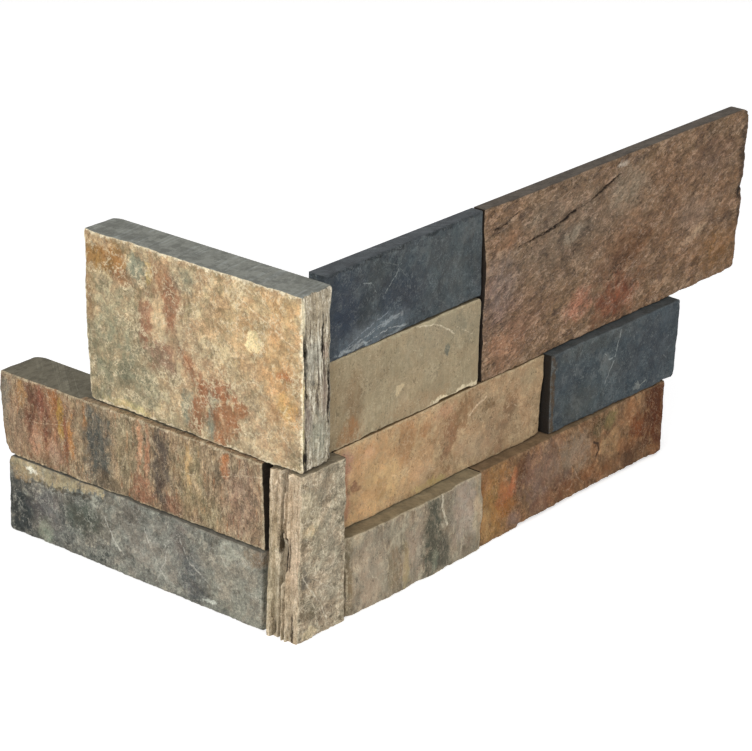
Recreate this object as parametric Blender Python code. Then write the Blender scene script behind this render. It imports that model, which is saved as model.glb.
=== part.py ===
"""Corner piece of natural stone cladding: eleven split slate stones bonded into an L.

The long leg runs along +X with its split face towards -Y. The short leg runs along +Y with its
split face towards -X. The stones of the two legs pass each other by turns at the corner, and their
free ends are stepped to lock into the next piece. All sizes are in metres.
"""
import math
from dataclasses import dataclass

import bmesh
import bpy
from mathutils import Matrix, Vector, noise

MM = 0.001
OBJECT_NAME = "stone_cladding_corner"

# Heights of the beds. The panel is nominally 6 inches high.
PANEL_HEIGHT = 152.4 * MM
CORNER_SLAB_DROP = 2.5 * MM
INTERLOCK_HEIGHT = 74.0 * MM
LONG_BOTTOM_COURSE = 36.2 * MM
SHORT_BOTTOM_COURSE = 35.5 * MM
OLIVE_STRIP_HEIGHT = 39.7 * MM

# Bonded joint between two stones, and the open joint beside the red slab
JOINT = 0.4 * MM
OPEN_JOINT = 1.3 * MM

# Reach of each free end, measured from the outer corner
RED_SLAB_REACH = 322.8 * MM
BLUE_STRIP_REACH = 266.0 * MM
RUST_STRIP_REACH = 257.0 * MM
CORNER_SLAB_REACH = 123.2 * MM
BROWN_STRIP_REACH = 173.6 * MM
GREY_STRIP_REACH = 169.8 * MM

# Upright joints along the long leg, measured from the outer corner
UPPER_SPLIT = 123.0 * MM
MIDDLE_SPLIT = 168.5 * MM
BOTTOM_SPLIT = 117.4 * MM

# Flush backs of the two legs, and the corner block, which is thicker
LONG_LEG_BACK = 15.0 * MM
SHORT_LEG_BACK = 19.2 * MM
CORNER_BLOCK_BACK = 19.4 * MM
CORNER_BLOCK_WIDTH = 26.8 * MM

# Set-back of each split face behind the corner's outer planes. A negative one stands proud.
CORNER_SLAB_FACE = -0.4 * MM
CORNER_SLAB_END = 1.0 * MM
BROWN_STRIP_FACE = -4.6 * MM
GREY_STRIP_FACE = -5.3 * MM
CORNER_BLOCK_FACE = -0.4 * MM
CORNER_BLOCK_END = -5.0 * MM
DARK_STRIP_FACE = 5.8 * MM
OLIVE_STRIP_FACE = 7.0 * MM
RED_SLAB_FACE = 6.6 * MM
TAN_STRIP_FACE = 7.0 * MM
BLUE_STRIP_FACE = 1.5 * MM
KHAKI_STRIP_FACE = -0.6 * MM
RUST_STRIP_FACE = 1.0 * MM

# Worn arrises round each split face, and how much wider their worn stretches are
ARRIS = 0.7 * MM
WEAR_GROWTH = 1.4
WEAR_SHARE = 0.3
WEAR_LENGTH = 9.0 * MM

# Swells of the split faces, and the ledges that they break into
SWELL_GAIN = 0.62
SWELL_OCTAVES = 3
SWELL_FINER = 2.1
LEDGE_SHARE = 0.5
LEDGE_SHARPNESS = 3.0

# Fractures of the broken layers
LAYER_SPACING = 3.7
FRACTURE_HEIGHT = 13.0 * MM
FRACTURE_LEAST = 0.55
FRACTURE_SPREAD = 0.75
CLOSED_GAPE = 0.5 * MM
GAPE_TAPER = 4.0 * MM

# Ragged relief of the free ends
RAGGED_DEPTH = 9.0 * MM
RAGGED_HEIGHT = 14.0 * MM
RAGGED_GAIN = 0.8
RAGGED_OCTAVES = 2

# Shifts that keep the noises of one stone apart
RAGGED_SHIFT = 5.0
WEAR_SHIFT = 9.0
TOP_SHIFT = 4.0

# Spacing of the facets on the split faces and broken ends
FACE_PITCH = 6.5 * MM
END_PITCH = 6.4 * MM
STEP_WIDTH = 0.5 * MM
RIM_SHARE = 0.4
RIM_GAP = 0.35 * MM
FACE_GAP = 1.4 * MM

# Depth along a stone over which a broken end fades into its sawn beds
END_ZONE = 14.0 * MM

# Points this close to a plane lie on it, and facets this close to one plane are one face
TOUCH = 0.001 * MM
FISSURE_SNAP = 0.25 * MM
FLAT_ANGLE = math.radians(0.1)


@dataclass(frozen=True)
class Lamina:
    """One slate layer seen on a broken end: its thickness and how far it is broken back.

    A layer that gapes is open between pairs of heights above the bed, and nearly closed elsewhere.
    """
    thickness: float
    broken_back: float
    gapes: tuple = ()


@dataclass(frozen=True)
class End:
    """One end of a stone, at its left or right as seen from outside.

    Its outline gives pairs of height above the bed and inset, from the bed upwards.
    """
    top_radius: float = 0.0
    bottom_radius: float = 0.0
    front_radius: float = ARRIS
    back_radius: float = 0.0
    outline: tuple = ((0.0, 0.0),)
    ragged: float = 0.0
    laminae: tuple = ()


@dataclass(frozen=True)
class Chip:
    """A stretch of the front arris over the bed that is broken out, from start to stop."""
    start: float
    stop: float
    height: float
    depth: float


@dataclass(frozen=True)
class Fissure:
    """An open crack over the split face, through pairs of place along the stone and height."""
    places: tuple
    half_width: float
    depth: float


@dataclass(frozen=True)
class Relief:
    """Hand-split surface: depth of the relief, size of its swells and stretch along the stone.

    A positive fall sets the right end of the face back, and a negative one the left end.
    """
    depth: float
    swell: float
    stretch: float
    ledges: int
    seed: float
    fall: float = 0.0


@dataclass(frozen=True)
class Stone:
    """A stone as seen from outside: left and right ends, bed, top, split face and back."""
    name: str
    left: float
    right: float
    bed: float
    top: float
    face: float
    back: float
    relief: Relief
    colour: tuple
    roughness: float = 0.8
    left_end: End = End()
    right_end: End = End()
    chips: tuple = ()
    fissures: tuple = ()
    on_short_leg: bool = False

    @property
    def size(self):
        return Vector((abs(self.right - self.left), self.back - self.face, self.top - self.bed))


CORNER_SLAB_LAMINAE = (
    Lamina(1.8 * MM, 0.0 * MM),
    Lamina(1.2 * MM, 2.8 * MM, gapes=((-6 * MM, 9 * MM), (42 * MM, 58 * MM))),
    Lamina(4.3 * MM, 0.8 * MM),
    Lamina(2.6 * MM, 1.4 * MM),
    Lamina(3.0 * MM, 0.4 * MM),
    Lamina(1.1 * MM, 2.8 * MM, gapes=((48 * MM, 64 * MM),)),
    Lamina(3.2 * MM, 1.0 * MM),
    Lamina(2.4 * MM, 1.8 * MM),
)
CORNER_BLOCK_LAMINAE = (
    Lamina(3.8 * MM, 1.9 * MM),
    Lamina(2.0 * MM, 2.3 * MM),
    Lamina(0.9 * MM, 4.2 * MM, gapes=((30 * MM, 47 * MM),)),
    Lamina(1.3 * MM, 2.6 * MM),
    Lamina(1.0 * MM, 5.8 * MM, gapes=((24 * MM, 46 * MM), (64 * MM, 80 * MM))),
    Lamina(2.3 * MM, 3.8 * MM),
    Lamina(3.2 * MM, 2.0 * MM),
    Lamina(2.2 * MM, 0.3 * MM),
    Lamina(3.1 * MM, 6.4 * MM),
)
RED_SLAB_OUTLINE = (
    (0.0, 5.0 * MM), (15 * MM, 4.4 * MM), (24 * MM, 2.2 * MM), (35 * MM, 2.0 * MM),
    (40 * MM, 3.4 * MM), (46 * MM, 1.6 * MM), (60 * MM, 0.7 * MM), (78 * MM, 0.0),
)
RED_SLAB_FISSURES = (
    Fissure(((23.0 * MM, 55.7 * MM), (52.9 * MM, 58.2 * MM), (64.3 * MM, 62.4 * MM)), 0.9 * MM, 1.5 * MM),
    Fissure(((74.0 * MM, 63.8 * MM), (97.0 * MM, 69.6 * MM)), 0.9 * MM, 1.3 * MM),
)


def corner_stones():
    """The block and the slab that pass through the corner, each showing its broken layers."""
    upper_bed = INTERLOCK_HEIGHT + JOINT
    slab = Stone(
        name="corner_slab", on_short_leg=True,
        left=CORNER_SLAB_REACH, right=CORNER_SLAB_END,
        bed=upper_bed, top=PANEL_HEIGHT - CORNER_SLAB_DROP,
        face=CORNER_SLAB_FACE, back=SHORT_LEG_BACK,
        relief=Relief(depth=1.4 * MM, swell=26 * MM, stretch=0.8, ledges=3, seed=11.0),
        left_end=End(top_radius=1.6 * MM, bottom_radius=4.5 * MM, back_radius=3.0 * MM,
                     outline=((0.0, 1.2 * MM), (60 * MM, 0.0)), ragged=0.4 * MM),
        right_end=End(bottom_radius=1.6 * MM, laminae=CORNER_SLAB_LAMINAE),
        colour=(0.40, 0.30, 0.19), roughness=0.85)
    block = Stone(
        name="corner_block",
        left=CORNER_BLOCK_END, right=CORNER_BLOCK_WIDTH,
        bed=0.0, top=INTERLOCK_HEIGHT,
        face=CORNER_BLOCK_FACE, back=CORNER_BLOCK_BACK,
        relief=Relief(depth=1.2 * MM, swell=16 * MM, stretch=1.0, ledges=3, seed=23.0),
        left_end=End(outline=((0.0, 0.0), (74 * MM, 2.6 * MM)), laminae=CORNER_BLOCK_LAMINAE),
        right_end=End(ragged=0.4 * MM),
        colour=(0.31, 0.27, 0.19), roughness=0.85)
    return [slab, block]


def short_leg_stones():
    """The two strips that butt against the back of the corner block."""
    butt = CORNER_BLOCK_BACK + JOINT
    grey = Stone(
        name="short_leg_grey_strip", on_short_leg=True,
        left=GREY_STRIP_REACH, right=butt,
        bed=0.0, top=SHORT_BOTTOM_COURSE,
        face=GREY_STRIP_FACE, back=SHORT_LEG_BACK,
        relief=Relief(depth=2.0 * MM, swell=30 * MM, stretch=1.6, ledges=2, seed=31.0,
                      fall=0.8 * MM),
        left_end=End(top_radius=4.0 * MM, bottom_radius=1.6 * MM, front_radius=2.2 * MM,
                     back_radius=3.0 * MM, outline=((0.0, 0.0), (35 * MM, 0.8 * MM)),
                     ragged=0.6 * MM),
        colour=(0.17, 0.17, 0.15), roughness=0.75)
    brown = Stone(
        name="short_leg_brown_strip", on_short_leg=True,
        left=BROWN_STRIP_REACH, right=butt,
        bed=SHORT_BOTTOM_COURSE + JOINT, top=INTERLOCK_HEIGHT,
        face=BROWN_STRIP_FACE, back=SHORT_LEG_BACK,
        relief=Relief(depth=1.5 * MM, swell=20 * MM, stretch=0.7, ledges=2, seed=37.0,
                      fall=2.2 * MM),
        left_end=End(top_radius=2.2 * MM, bottom_radius=7.0 * MM, front_radius=2.6 * MM,
                     back_radius=3.6 * MM, outline=((0.0, 1.8 * MM), (28 * MM, 0.0)),
                     ragged=0.6 * MM),
        right_end=End(outline=((0.0, 0.0), (38 * MM, 1.6 * MM))),
        colour=(0.27, 0.16, 0.10), roughness=0.8)
    return [grey, brown]


def upper_long_leg_stones():
    """The dark and olive strips against the corner slab, and the tall red slab beyond them."""
    butt = SHORT_LEG_BACK + JOINT
    upper_bed = INTERLOCK_HEIGHT + JOINT
    olive_top = upper_bed + OLIVE_STRIP_HEIGHT
    olive = Stone(
        name="long_leg_olive_strip",
        left=butt, right=UPPER_SPLIT, bed=upper_bed, top=olive_top,
        face=OLIVE_STRIP_FACE, back=LONG_LEG_BACK,
        relief=Relief(depth=1.0 * MM, swell=34 * MM, stretch=0.8, ledges=1, seed=41.0),
        right_end=End(bottom_radius=2.2 * MM),
        chips=(Chip(start=74 * MM, stop=99 * MM, height=1.4 * MM, depth=3.0 * MM),),
        colour=(0.25, 0.22, 0.12), roughness=0.7)
    dark = Stone(
        name="long_leg_dark_strip",
        left=butt, right=UPPER_SPLIT, bed=olive_top + JOINT, top=PANEL_HEIGHT,
        face=DARK_STRIP_FACE, back=LONG_LEG_BACK,
        relief=Relief(depth=1.0 * MM, swell=30 * MM, stretch=1.4, ledges=2, seed=43.0,
                      fall=2.2 * MM),
        colour=(0.045, 0.055, 0.07), roughness=0.65)
    red = Stone(
        name="long_leg_red_slab",
        left=UPPER_SPLIT + OPEN_JOINT, right=RED_SLAB_REACH, bed=upper_bed, top=PANEL_HEIGHT,
        face=RED_SLAB_FACE, back=LONG_LEG_BACK,
        relief=Relief(depth=1.9 * MM, swell=30 * MM, stretch=1.3, ledges=3, seed=47.0),
        right_end=End(top_radius=6.5 * MM, bottom_radius=6.0 * MM, front_radius=1.8 * MM,
                      back_radius=4.2 * MM, outline=RED_SLAB_OUTLINE, ragged=0.4 * MM),
        fissures=RED_SLAB_FISSURES,
        colour=(0.20, 0.115, 0.085), roughness=0.85)
    return [olive, dark, red]


def lower_long_leg_stones():
    """The four strips that run on from the corner block in two courses."""
    butt = CORNER_BLOCK_WIDTH + JOINT
    middle_bed = LONG_BOTTOM_COURSE + JOINT
    tan = Stone(
        name="long_leg_tan_strip",
        left=butt, right=MIDDLE_SPLIT, bed=middle_bed, top=INTERLOCK_HEIGHT,
        face=TAN_STRIP_FACE, back=LONG_LEG_BACK,
        relief=Relief(depth=1.2 * MM, swell=28 * MM, stretch=1.2, ledges=1, seed=53.0),
        right_end=End(bottom_radius=1.8 * MM, outline=((0.0, 2.4 * MM), (37 * MM, 0.0))),
        colour=(0.33, 0.21, 0.11), roughness=0.7)
    blue = Stone(
        name="long_leg_blue_strip",
        left=MIDDLE_SPLIT + JOINT, right=BLUE_STRIP_REACH, bed=middle_bed, top=INTERLOCK_HEIGHT,
        face=BLUE_STRIP_FACE, back=LONG_LEG_BACK,
        relief=Relief(depth=1.2 * MM, swell=30 * MM, stretch=1.5, ledges=2, seed=59.0,
                      fall=-1.6 * MM),
        left_end=End(front_radius=1.6 * MM),
        right_end=End(top_radius=1.4 * MM, bottom_radius=3.6 * MM, front_radius=1.6 * MM,
                      outline=((0.0, 2.6 * MM), (28 * MM, 0.0)), ragged=0.6 * MM),
        colour=(0.075, 0.085, 0.10), roughness=0.6)
    khaki = Stone(
        name="long_leg_khaki_strip",
        left=butt, right=BOTTOM_SPLIT, bed=0.0, top=LONG_BOTTOM_COURSE,
        face=KHAKI_STRIP_FACE, back=LONG_LEG_BACK,
        relief=Relief(depth=1.9 * MM, swell=24 * MM, stretch=0.9, ledges=1, seed=61.0),
        left_end=End(front_radius=5.5 * MM),
        colour=(0.27, 0.24, 0.19), roughness=0.75)
    rust = Stone(
        name="long_leg_rust_strip",
        left=BOTTOM_SPLIT + JOINT, right=RUST_STRIP_REACH, bed=0.0, top=LONG_BOTTOM_COURSE,
        face=RUST_STRIP_FACE, back=LONG_LEG_BACK,
        relief=Relief(depth=1.4 * MM, swell=26 * MM, stretch=1.2, ledges=2, seed=67.0),
        right_end=End(top_radius=1.6 * MM, bottom_radius=2.4 * MM, front_radius=1.8 * MM,
                      outline=((0.0, 2.4 * MM), (36 * MM, 0.0)), ragged=0.7 * MM),
        chips=(Chip(start=26 * MM, stop=150 * MM, height=1.8 * MM, depth=4.5 * MM),),
        colour=(0.24, 0.15, 0.09), roughness=0.8)
    return [tan, blue, khaki, rust]


def clamp(value):
    """Keeps a share between 0 and 1."""
    return min(max(value, 0.0), 1.0)


def smooth(value):
    """Eases a share from 0 to 1."""
    share = clamp(value)
    return share * share * (3.0 - 2.0 * share)


def fissure_depth(stone, along, up):
    """How much deeper the split face is where a crack runs over it."""
    deepest = 0.0
    here = Vector((along, up))
    for fissure in stone.fissures:
        for start, stop in zip(fissure.places, fissure.places[1:]):
            run = Vector(stop) - Vector(start)
            passed = clamp((here - Vector(start)).dot(run) / run.length_squared)
            off = (here - Vector(start) - run * passed).length
            deepest = max(deepest, fissure.depth * clamp(1.0 - off / fissure.half_width))
    return deepest


def split_depth(stone, along, up):
    """How far the split face lies behind its proudest points, from swells and broken ledges."""
    relief = stone.relief
    rightward = along / stone.size.x
    fall = relief.fall * rightward if relief.fall > 0.0 else -relief.fall * (1.0 - rightward)
    place = Vector((along / (relief.swell * relief.stretch), up / relief.swell, relief.seed))
    swell = clamp(0.5 + SWELL_GAIN * noise.fractal(place, 1.0, SWELL_FINER, SWELL_OCTAVES))
    level = swell * relief.ledges
    ledge = (math.floor(level) + smooth((level % 1.0 - 0.5) * LEDGE_SHARPNESS + 0.5)) / relief.ledges
    broken = (1.0 - LEDGE_SHARE) * swell + LEDGE_SHARE * min(ledge, 1.0)
    return fall + relief.depth * broken + fissure_depth(stone, along, up)


def layer_depth(end, across, up, seed):
    """How far a broken end lies behind its outermost layer, at a depth across the layers."""
    passed = 0.0
    last = len(end.laminae) - 1
    for index, lamina in enumerate(end.laminae):
        passed += lamina.thickness
        if across <= passed or index == last:
            break
    fracture = 0.5 + 0.5 * noise.noise(Vector((index * LAYER_SPACING, up / FRACTURE_HEIGHT, seed)))
    broken_back = lamina.broken_back * (FRACTURE_LEAST + FRACTURE_SPREAD * fracture)
    if not lamina.gapes:
        return broken_back
    opened = max(smooth((up - low) / GAPE_TAPER) * smooth((high - up) / GAPE_TAPER)
                 for low, high in lamina.gapes)
    return CLOSED_GAPE + (broken_back - CLOSED_GAPE) * opened


def outline_inset(outline, up):
    """How far in an end's outline lies at a height, straight between its places."""
    (low, inset), *places = outline
    for high, next_inset in places:
        if up < high:
            return inset + (next_inset - inset) * clamp((up - low) / (high - low))
        low, inset = high, next_inset
    return inset


def end_inset(end, stone, across, up):
    """How far a point on an end face is set in from the stone's full reach."""
    inset = outline_inset(end.outline, up)
    if end.ragged:
        place = Vector((across / RAGGED_DEPTH, up / RAGGED_HEIGHT, stone.relief.seed + RAGGED_SHIFT))
        inset += end.ragged * clamp(0.5 + RAGGED_GAIN * noise.fractal(place, 1.0, 2.0, RAGGED_OCTAVES))
    if end.laminae:
        inset += layer_depth(end, across, up, stone.relief.seed)
    return inset


def rounded(first, second, radius):
    """Moves a point in the square corner of two surfaces onto a quarter circle."""
    if first >= radius or second >= radius:
        return first, second
    across, along = radius - first, radius - second
    share = max(across, along) / math.hypot(across, along)
    return radius - across * share, radius - along * share


def broken_out(height, depth, chip):
    """Moves a point in the corner of the face and the bed onto the flat facet of a chip."""
    short = 1.0 - height / chip.height - depth / chip.depth
    if short <= 0.0:
        return height, depth
    return height + chip.height * short / 2.0, depth + chip.depth * short / 2.0


def rim_places(radius, reach, from_far_side=False):
    """Places that carry the curve of a rounding of this radius."""
    places = [radius * RIM_SHARE, radius] if radius > ARRIS else [radius]
    return [reach - place if from_far_side else place for place in places]


def grid_places(reach, pitch, rims):
    """The rims of the roundings, filled up with evenly spaced places, none of them crowded."""
    places = []
    for rim in sorted(rims):
        if RIM_GAP < rim < reach - RIM_GAP and all(abs(rim - other) > RIM_GAP for other in places):
            places.append(rim)
    count = math.ceil(reach / pitch)
    for index in range(1, count):
        place = reach * index / count
        if all(abs(place - other) > FACE_GAP for other in places):
            places.append(place)
    return sorted(places)


def end_rims(end, size, at_right):
    """Places along, across and up a stone that carry the roundings and layers of one end."""
    length, depth, height = size
    along = rim_places(end.front_radius, length, at_right)
    across = rim_places(end.front_radius, depth)
    up = [place for place, _ in end.outline]
    if end.back_radius:
        along += rim_places(end.back_radius, length, at_right)
        across += rim_places(end.back_radius, depth, True)
    for radius, at_top in ((end.top_radius, True), (end.bottom_radius, False)):
        if radius > ARRIS:
            along += rim_places(radius, length, at_right)
            up += rim_places(radius, height, at_top)
    passed = 0.0
    for lamina in end.laminae[:-1]:
        passed += lamina.thickness
        across += [passed, passed + STEP_WIDTH]
    return along, across, up


def cut_grid(bm, stone):
    """Divides the block along the roundings, the layers of its broken ends and an even grid."""
    length, depth, height = stone.size
    along, across, up = [], [ARRIS], [ARRIS, height - ARRIS]
    for end, at_right in ((stone.left_end, False), (stone.right_end, True)):
        rims = end_rims(end, stone.size, at_right)
        along, across, up = along + rims[0], across + rims[1], up + rims[2]
    for chip in stone.chips:
        along += [chip.start, chip.start + STEP_WIDTH, chip.stop - STEP_WIDTH, chip.stop]
        across.append(chip.depth)
        up.append(chip.height)
    grids = (grid_places(length, FACE_PITCH, along), grid_places(depth, END_PITCH, across),
             grid_places(height, FACE_PITCH, up))
    for axis, places in enumerate(grids):
        normal = Vector([float(axis == other) for other in range(3)])
        for place in places:
            bmesh.ops.bisect_plane(bm, geom=[*bm.verts, *bm.edges, *bm.faces], dist=TOUCH,
                                   plane_co=normal * place, plane_no=normal)


def cut_fissures(bm, stone):
    """Divides the split face along both edges and the bottom of each crack."""
    for fissure in stone.fissures:
        for start, stop in zip(fissure.places, fissure.places[1:]):
            first, last = Vector((start[0], 0.0, start[1])), Vector((stop[0], 0.0, stop[1]))
            across = (last - first).cross(Vector((0.0, 1.0, 0.0))).normalized()
            for side in (-fissure.half_width, 0.0, fissure.half_width):
                faces = [face for face in bm.faces
                         if all(vert.co.y < TOUCH for vert in face.verts)
                         and max(vert.co.x for vert in face.verts) > first.x
                         and min(vert.co.x for vert in face.verts) < last.x]
                edges = {edge for face in faces for edge in face.edges}
                verts = {vert for face in faces for vert in face.verts}
                bmesh.ops.bisect_plane(bm, geom=[*verts, *edges, *faces], dist=FISSURE_SNAP,
                                       plane_co=first + across * side, plane_no=across)


def arris_radius(stone, along, at_top):
    """Radius of the worn arris at a place along the bed or the top."""
    place = Vector((along / WEAR_LENGTH, TOP_SHIFT * at_top, stone.relief.seed + WEAR_SHIFT))
    return ARRIS * (1.0 + WEAR_GROWTH * max(0.0, WEAR_SHARE + noise.noise(place)))


def wear(stone, point):
    """Where a point of the sharp block lies once its arrises and corners are worn and chipped."""
    length, depth, height = stone.size
    along, across, up = point
    for at_top in (False, True):
        inward = height - up if at_top else up
        inward, across = rounded(inward, across, arris_radius(stone, along, at_top))
        up = height - inward if at_top else inward
    for chip in stone.chips:
        if chip.start + TOUCH < along < chip.stop - TOUCH:
            up, across = broken_out(up, across, chip)
    for end, at_right in ((stone.left_end, False), (stone.right_end, True)):
        inward = length - along if at_right else along
        inward, across = rounded(inward, across, end.front_radius)
        inward, behind = rounded(inward, depth - across, end.back_radius)
        across = depth - behind
        upward = height - up
        inward, upward = rounded(inward, upward, end.top_radius)
        inward, up = rounded(inward, height - upward, end.bottom_radius)
        along = length - inward if at_right else inward
    return Vector((along, across, up))


def split(stone, point):
    """Where a worn point lies once the face and the ends have their natural broken relief."""
    length, depth, _ = stone.size
    along, across, up = point
    fade = 1.0 - smooth((across - ARRIS) / (depth - ARRIS))
    left = max(0.0, 1.0 - along / END_ZONE)
    right = max(0.0, 1.0 - (length - along) / END_ZONE)
    inset = (left * end_inset(stone.left_end, stone, across, up)
             - right * end_inset(stone.right_end, stone, across, up))
    return Vector((along + inset, across + fade * split_depth(stone, along, up), up))


def merge_sawn_sides(bm, stone):
    """Makes one face of each sawn side: the bed, the top, the back and the butted ends."""
    sides = [(axis, place) for axis, reach in enumerate(stone.size) for place in (0.0, reach)
             if (axis, place) != (1, 0.0)]

    def is_sawn(face):
        return any(all(abs(vert.co[axis] - place) < TOUCH for vert in face.verts) for axis, place in sides)

    sawn = {face for face in bm.faces if is_sawn(face)}
    edges = [edge for edge in bm.edges if sawn.issuperset(edge.link_faces)]
    verts = [vert for vert in bm.verts if sawn.issuperset(vert.link_faces)]
    bmesh.ops.dissolve_limit(bm, angle_limit=FLAT_ANGLE, verts=verts, edges=edges)


def stone_mesh(stone):
    """Shapes one stone in its own frame: left to right along X, into the wall along Y."""
    bm = bmesh.new()
    bmesh.ops.create_cube(bm, size=1.0)
    bmesh.ops.translate(bm, vec=(0.5, 0.5, 0.5), verts=bm.verts)
    bmesh.ops.scale(bm, vec=stone.size, verts=bm.verts)
    cut_grid(bm, stone)
    cut_fissures(bm, stone)
    for vert in bm.verts:
        vert.co = split(stone, wear(stone, vert.co))
    merge_sawn_sides(bm, stone)
    bmesh.ops.recalc_face_normals(bm, faces=bm.faces)
    mesh = bpy.data.meshes.new(stone.name)
    bm.to_mesh(mesh)
    bm.free()
    return mesh


def stone_material(stone):
    """A plain matt slate finish in the stone's main colour."""
    material = bpy.data.materials.new(stone.name)
    material.use_nodes = True
    shader = material.node_tree.nodes["Principled BSDF"]
    shader.inputs["Base Color"].default_value = (*stone.colour, 1.0)
    shader.inputs["Roughness"].default_value = stone.roughness
    shader.inputs["Metallic"].default_value = 0.0
    material.diffuse_color = (*stone.colour, 1.0)
    return material


def place_stone(stone, collection, parent):
    """Adds one stone, turned to face out of its own leg."""
    piece = bpy.data.objects.new(stone.name, stone_mesh(stone))
    piece.data.materials.append(stone_material(stone))
    collection.objects.link(piece)
    piece.parent = parent
    if stone.on_short_leg:
        piece.location = (stone.face, stone.left, stone.bed)
        piece.rotation_euler = (0.0, 0.0, math.radians(-90))
    else:
        piece.location = (stone.left, stone.face, stone.bed)
    return piece


def bottom_centre(pieces):
    """Middle of the underside of the box round all the pieces."""
    bpy.context.view_layer.update()
    corners = [piece.matrix_world @ vert.co for piece in pieces for vert in piece.data.vertices]
    low = Vector([min(corner[axis] for corner in corners) for axis in range(3)])
    high = Vector([max(corner[axis] for corner in corners) for axis in range(3)])
    return Vector(((low.x + high.x) / 2.0, (low.y + high.y) / 2.0, low.z))


def main():
    for old in list(bpy.data.objects):
        bpy.data.objects.remove(old, do_unlink=True)
    collection = bpy.data.collections.new(OBJECT_NAME)
    bpy.context.scene.collection.children.link(collection)
    outer_corner = bpy.data.objects.new("outer_corner", None)
    collection.objects.link(outer_corner)

    stones = [*corner_stones(), *short_leg_stones(), *upper_long_leg_stones(), *lower_long_leg_stones()]
    pieces = [place_stone(stone, collection, outer_corner) for stone in stones]
    outer_corner.matrix_world = Matrix.Translation(-bottom_centre(pieces))
    bpy.context.view_layer.update()


if __name__ == "__main__":
    main()
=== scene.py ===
"""Looks of the stone cladding corner piece: split faces, layered ends, stains and sawn beds.

Each stone is modelled again on a fine grid over the same block as its CAD solid, with the same
worn arrises, split relief and broken ends, and gets its own slate finish. Shapes and places on a
stone are in millimetres from its left end, its split face and its bed, as seen from outside.
Colours are screen colours in six hexadecimal digits.
"""

import logging
import math
from dataclasses import dataclass
from enum import Enum

import bmesh
import bpy
from mathutils import Matrix, Vector, noise


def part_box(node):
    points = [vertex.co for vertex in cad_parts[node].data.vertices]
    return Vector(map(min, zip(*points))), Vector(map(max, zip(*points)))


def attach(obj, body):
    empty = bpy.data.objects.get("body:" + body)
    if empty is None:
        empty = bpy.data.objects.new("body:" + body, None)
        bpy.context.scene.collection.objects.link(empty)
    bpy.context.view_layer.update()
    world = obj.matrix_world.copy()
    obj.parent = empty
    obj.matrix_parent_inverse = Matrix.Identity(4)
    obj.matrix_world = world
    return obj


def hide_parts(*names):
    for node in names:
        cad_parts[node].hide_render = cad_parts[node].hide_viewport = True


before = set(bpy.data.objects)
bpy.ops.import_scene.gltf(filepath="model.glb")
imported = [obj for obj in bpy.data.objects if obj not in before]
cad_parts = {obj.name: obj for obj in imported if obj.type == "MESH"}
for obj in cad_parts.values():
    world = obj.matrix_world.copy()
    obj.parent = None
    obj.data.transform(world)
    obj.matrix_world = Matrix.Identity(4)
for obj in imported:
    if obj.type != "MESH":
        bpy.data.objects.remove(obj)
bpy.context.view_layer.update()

LOG = logging.getLogger("stone_cladding_corner")

# MM is a millimetre in metres. The lengths right under it are in millimetres.
MM = 0.001
TOUCH = 0.001
EDGE_REACH = 6.0
STAIN_DEPTH = 500.0
BUMP_DISTANCE = 0.8
SHARP_ANGLE = 42.0
SPECULAR = 0.2
ORIGIN = (0.0, 0.0, 0.0)
MARKS = "marks"
OFF_RIM = "off_rim"
Tone = tuple[float, float, float, float]
Place = tuple[float, float]


def tone(code: str) -> Tone:
    """Turns a screen colour into the renderer's linear colour.

    Args:
        code: Red, green and blue in six hexadecimal digits.

    Returns:
        The colour in linear light, with full alpha.
    """
    linear = [((value / 255 + 0.055) / 1.055) ** 2.4 for value in bytes.fromhex(code)]
    return (linear[0], linear[1], linear[2], 1.0)


def clamp(value: float) -> float:
    """Keeps a share between 0 and 1."""
    return min(max(value, 0.0), 1.0)


def smooth(value: float) -> float:
    """Eases a share from 0 to 1."""
    share = clamp(value)
    return share * share * (3.0 - 2.0 * share)


def between(value: float, low: float, high: float, taper: float) -> float:
    """Gives 1 well between two limits, and eases to 0 at them over a taper."""
    return smooth((value - low) / taper) * smooth((high - value) / taper)


def in_plane(tilt: float) -> tuple[float, float, float]:
    """Gives the turn of coordinates that tilts marks in the plane of the face, from degrees."""
    return 0.0, -math.radians(tilt), 0.0


class Leg(Enum):
    """The leg whose split face a stone shows."""
    LONG = 0.0
    SHORT = -90.0

    @property
    def turn(self) -> float:
        """Turn about Z from the stone's own frame to the frame of the part, in radians."""
        return math.radians(self.value)


# Shape of a stone


@dataclass(frozen=True)
class Rules:
    """Rules by which every stone is worn and broken, the same as in the CAD source."""
    arris: float = 0.7
    wear_growth: float = 1.4
    wear_share: float = 0.3
    wear_length: float = 9.0
    swell_gain: float = 0.62
    swell_octaves: int = 3
    swell_finer: float = 2.1
    ledge_sharpness: float = 3.0
    layer_spacing: float = 3.7
    fracture_height: float = 13.0
    fracture_least: float = 0.55
    fracture_spread: float = 0.75
    closed_gape: float = 0.5
    gape_taper: float = 4.0
    ragged_depth: float = 9.0
    ragged_height: float = 14.0
    ragged_gain: float = 0.8
    ragged_shift: float = 5.0
    wear_shift: float = 9.0
    top_shift: float = 4.0
    end_zone: float = 14.0


RULES = Rules()


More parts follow.
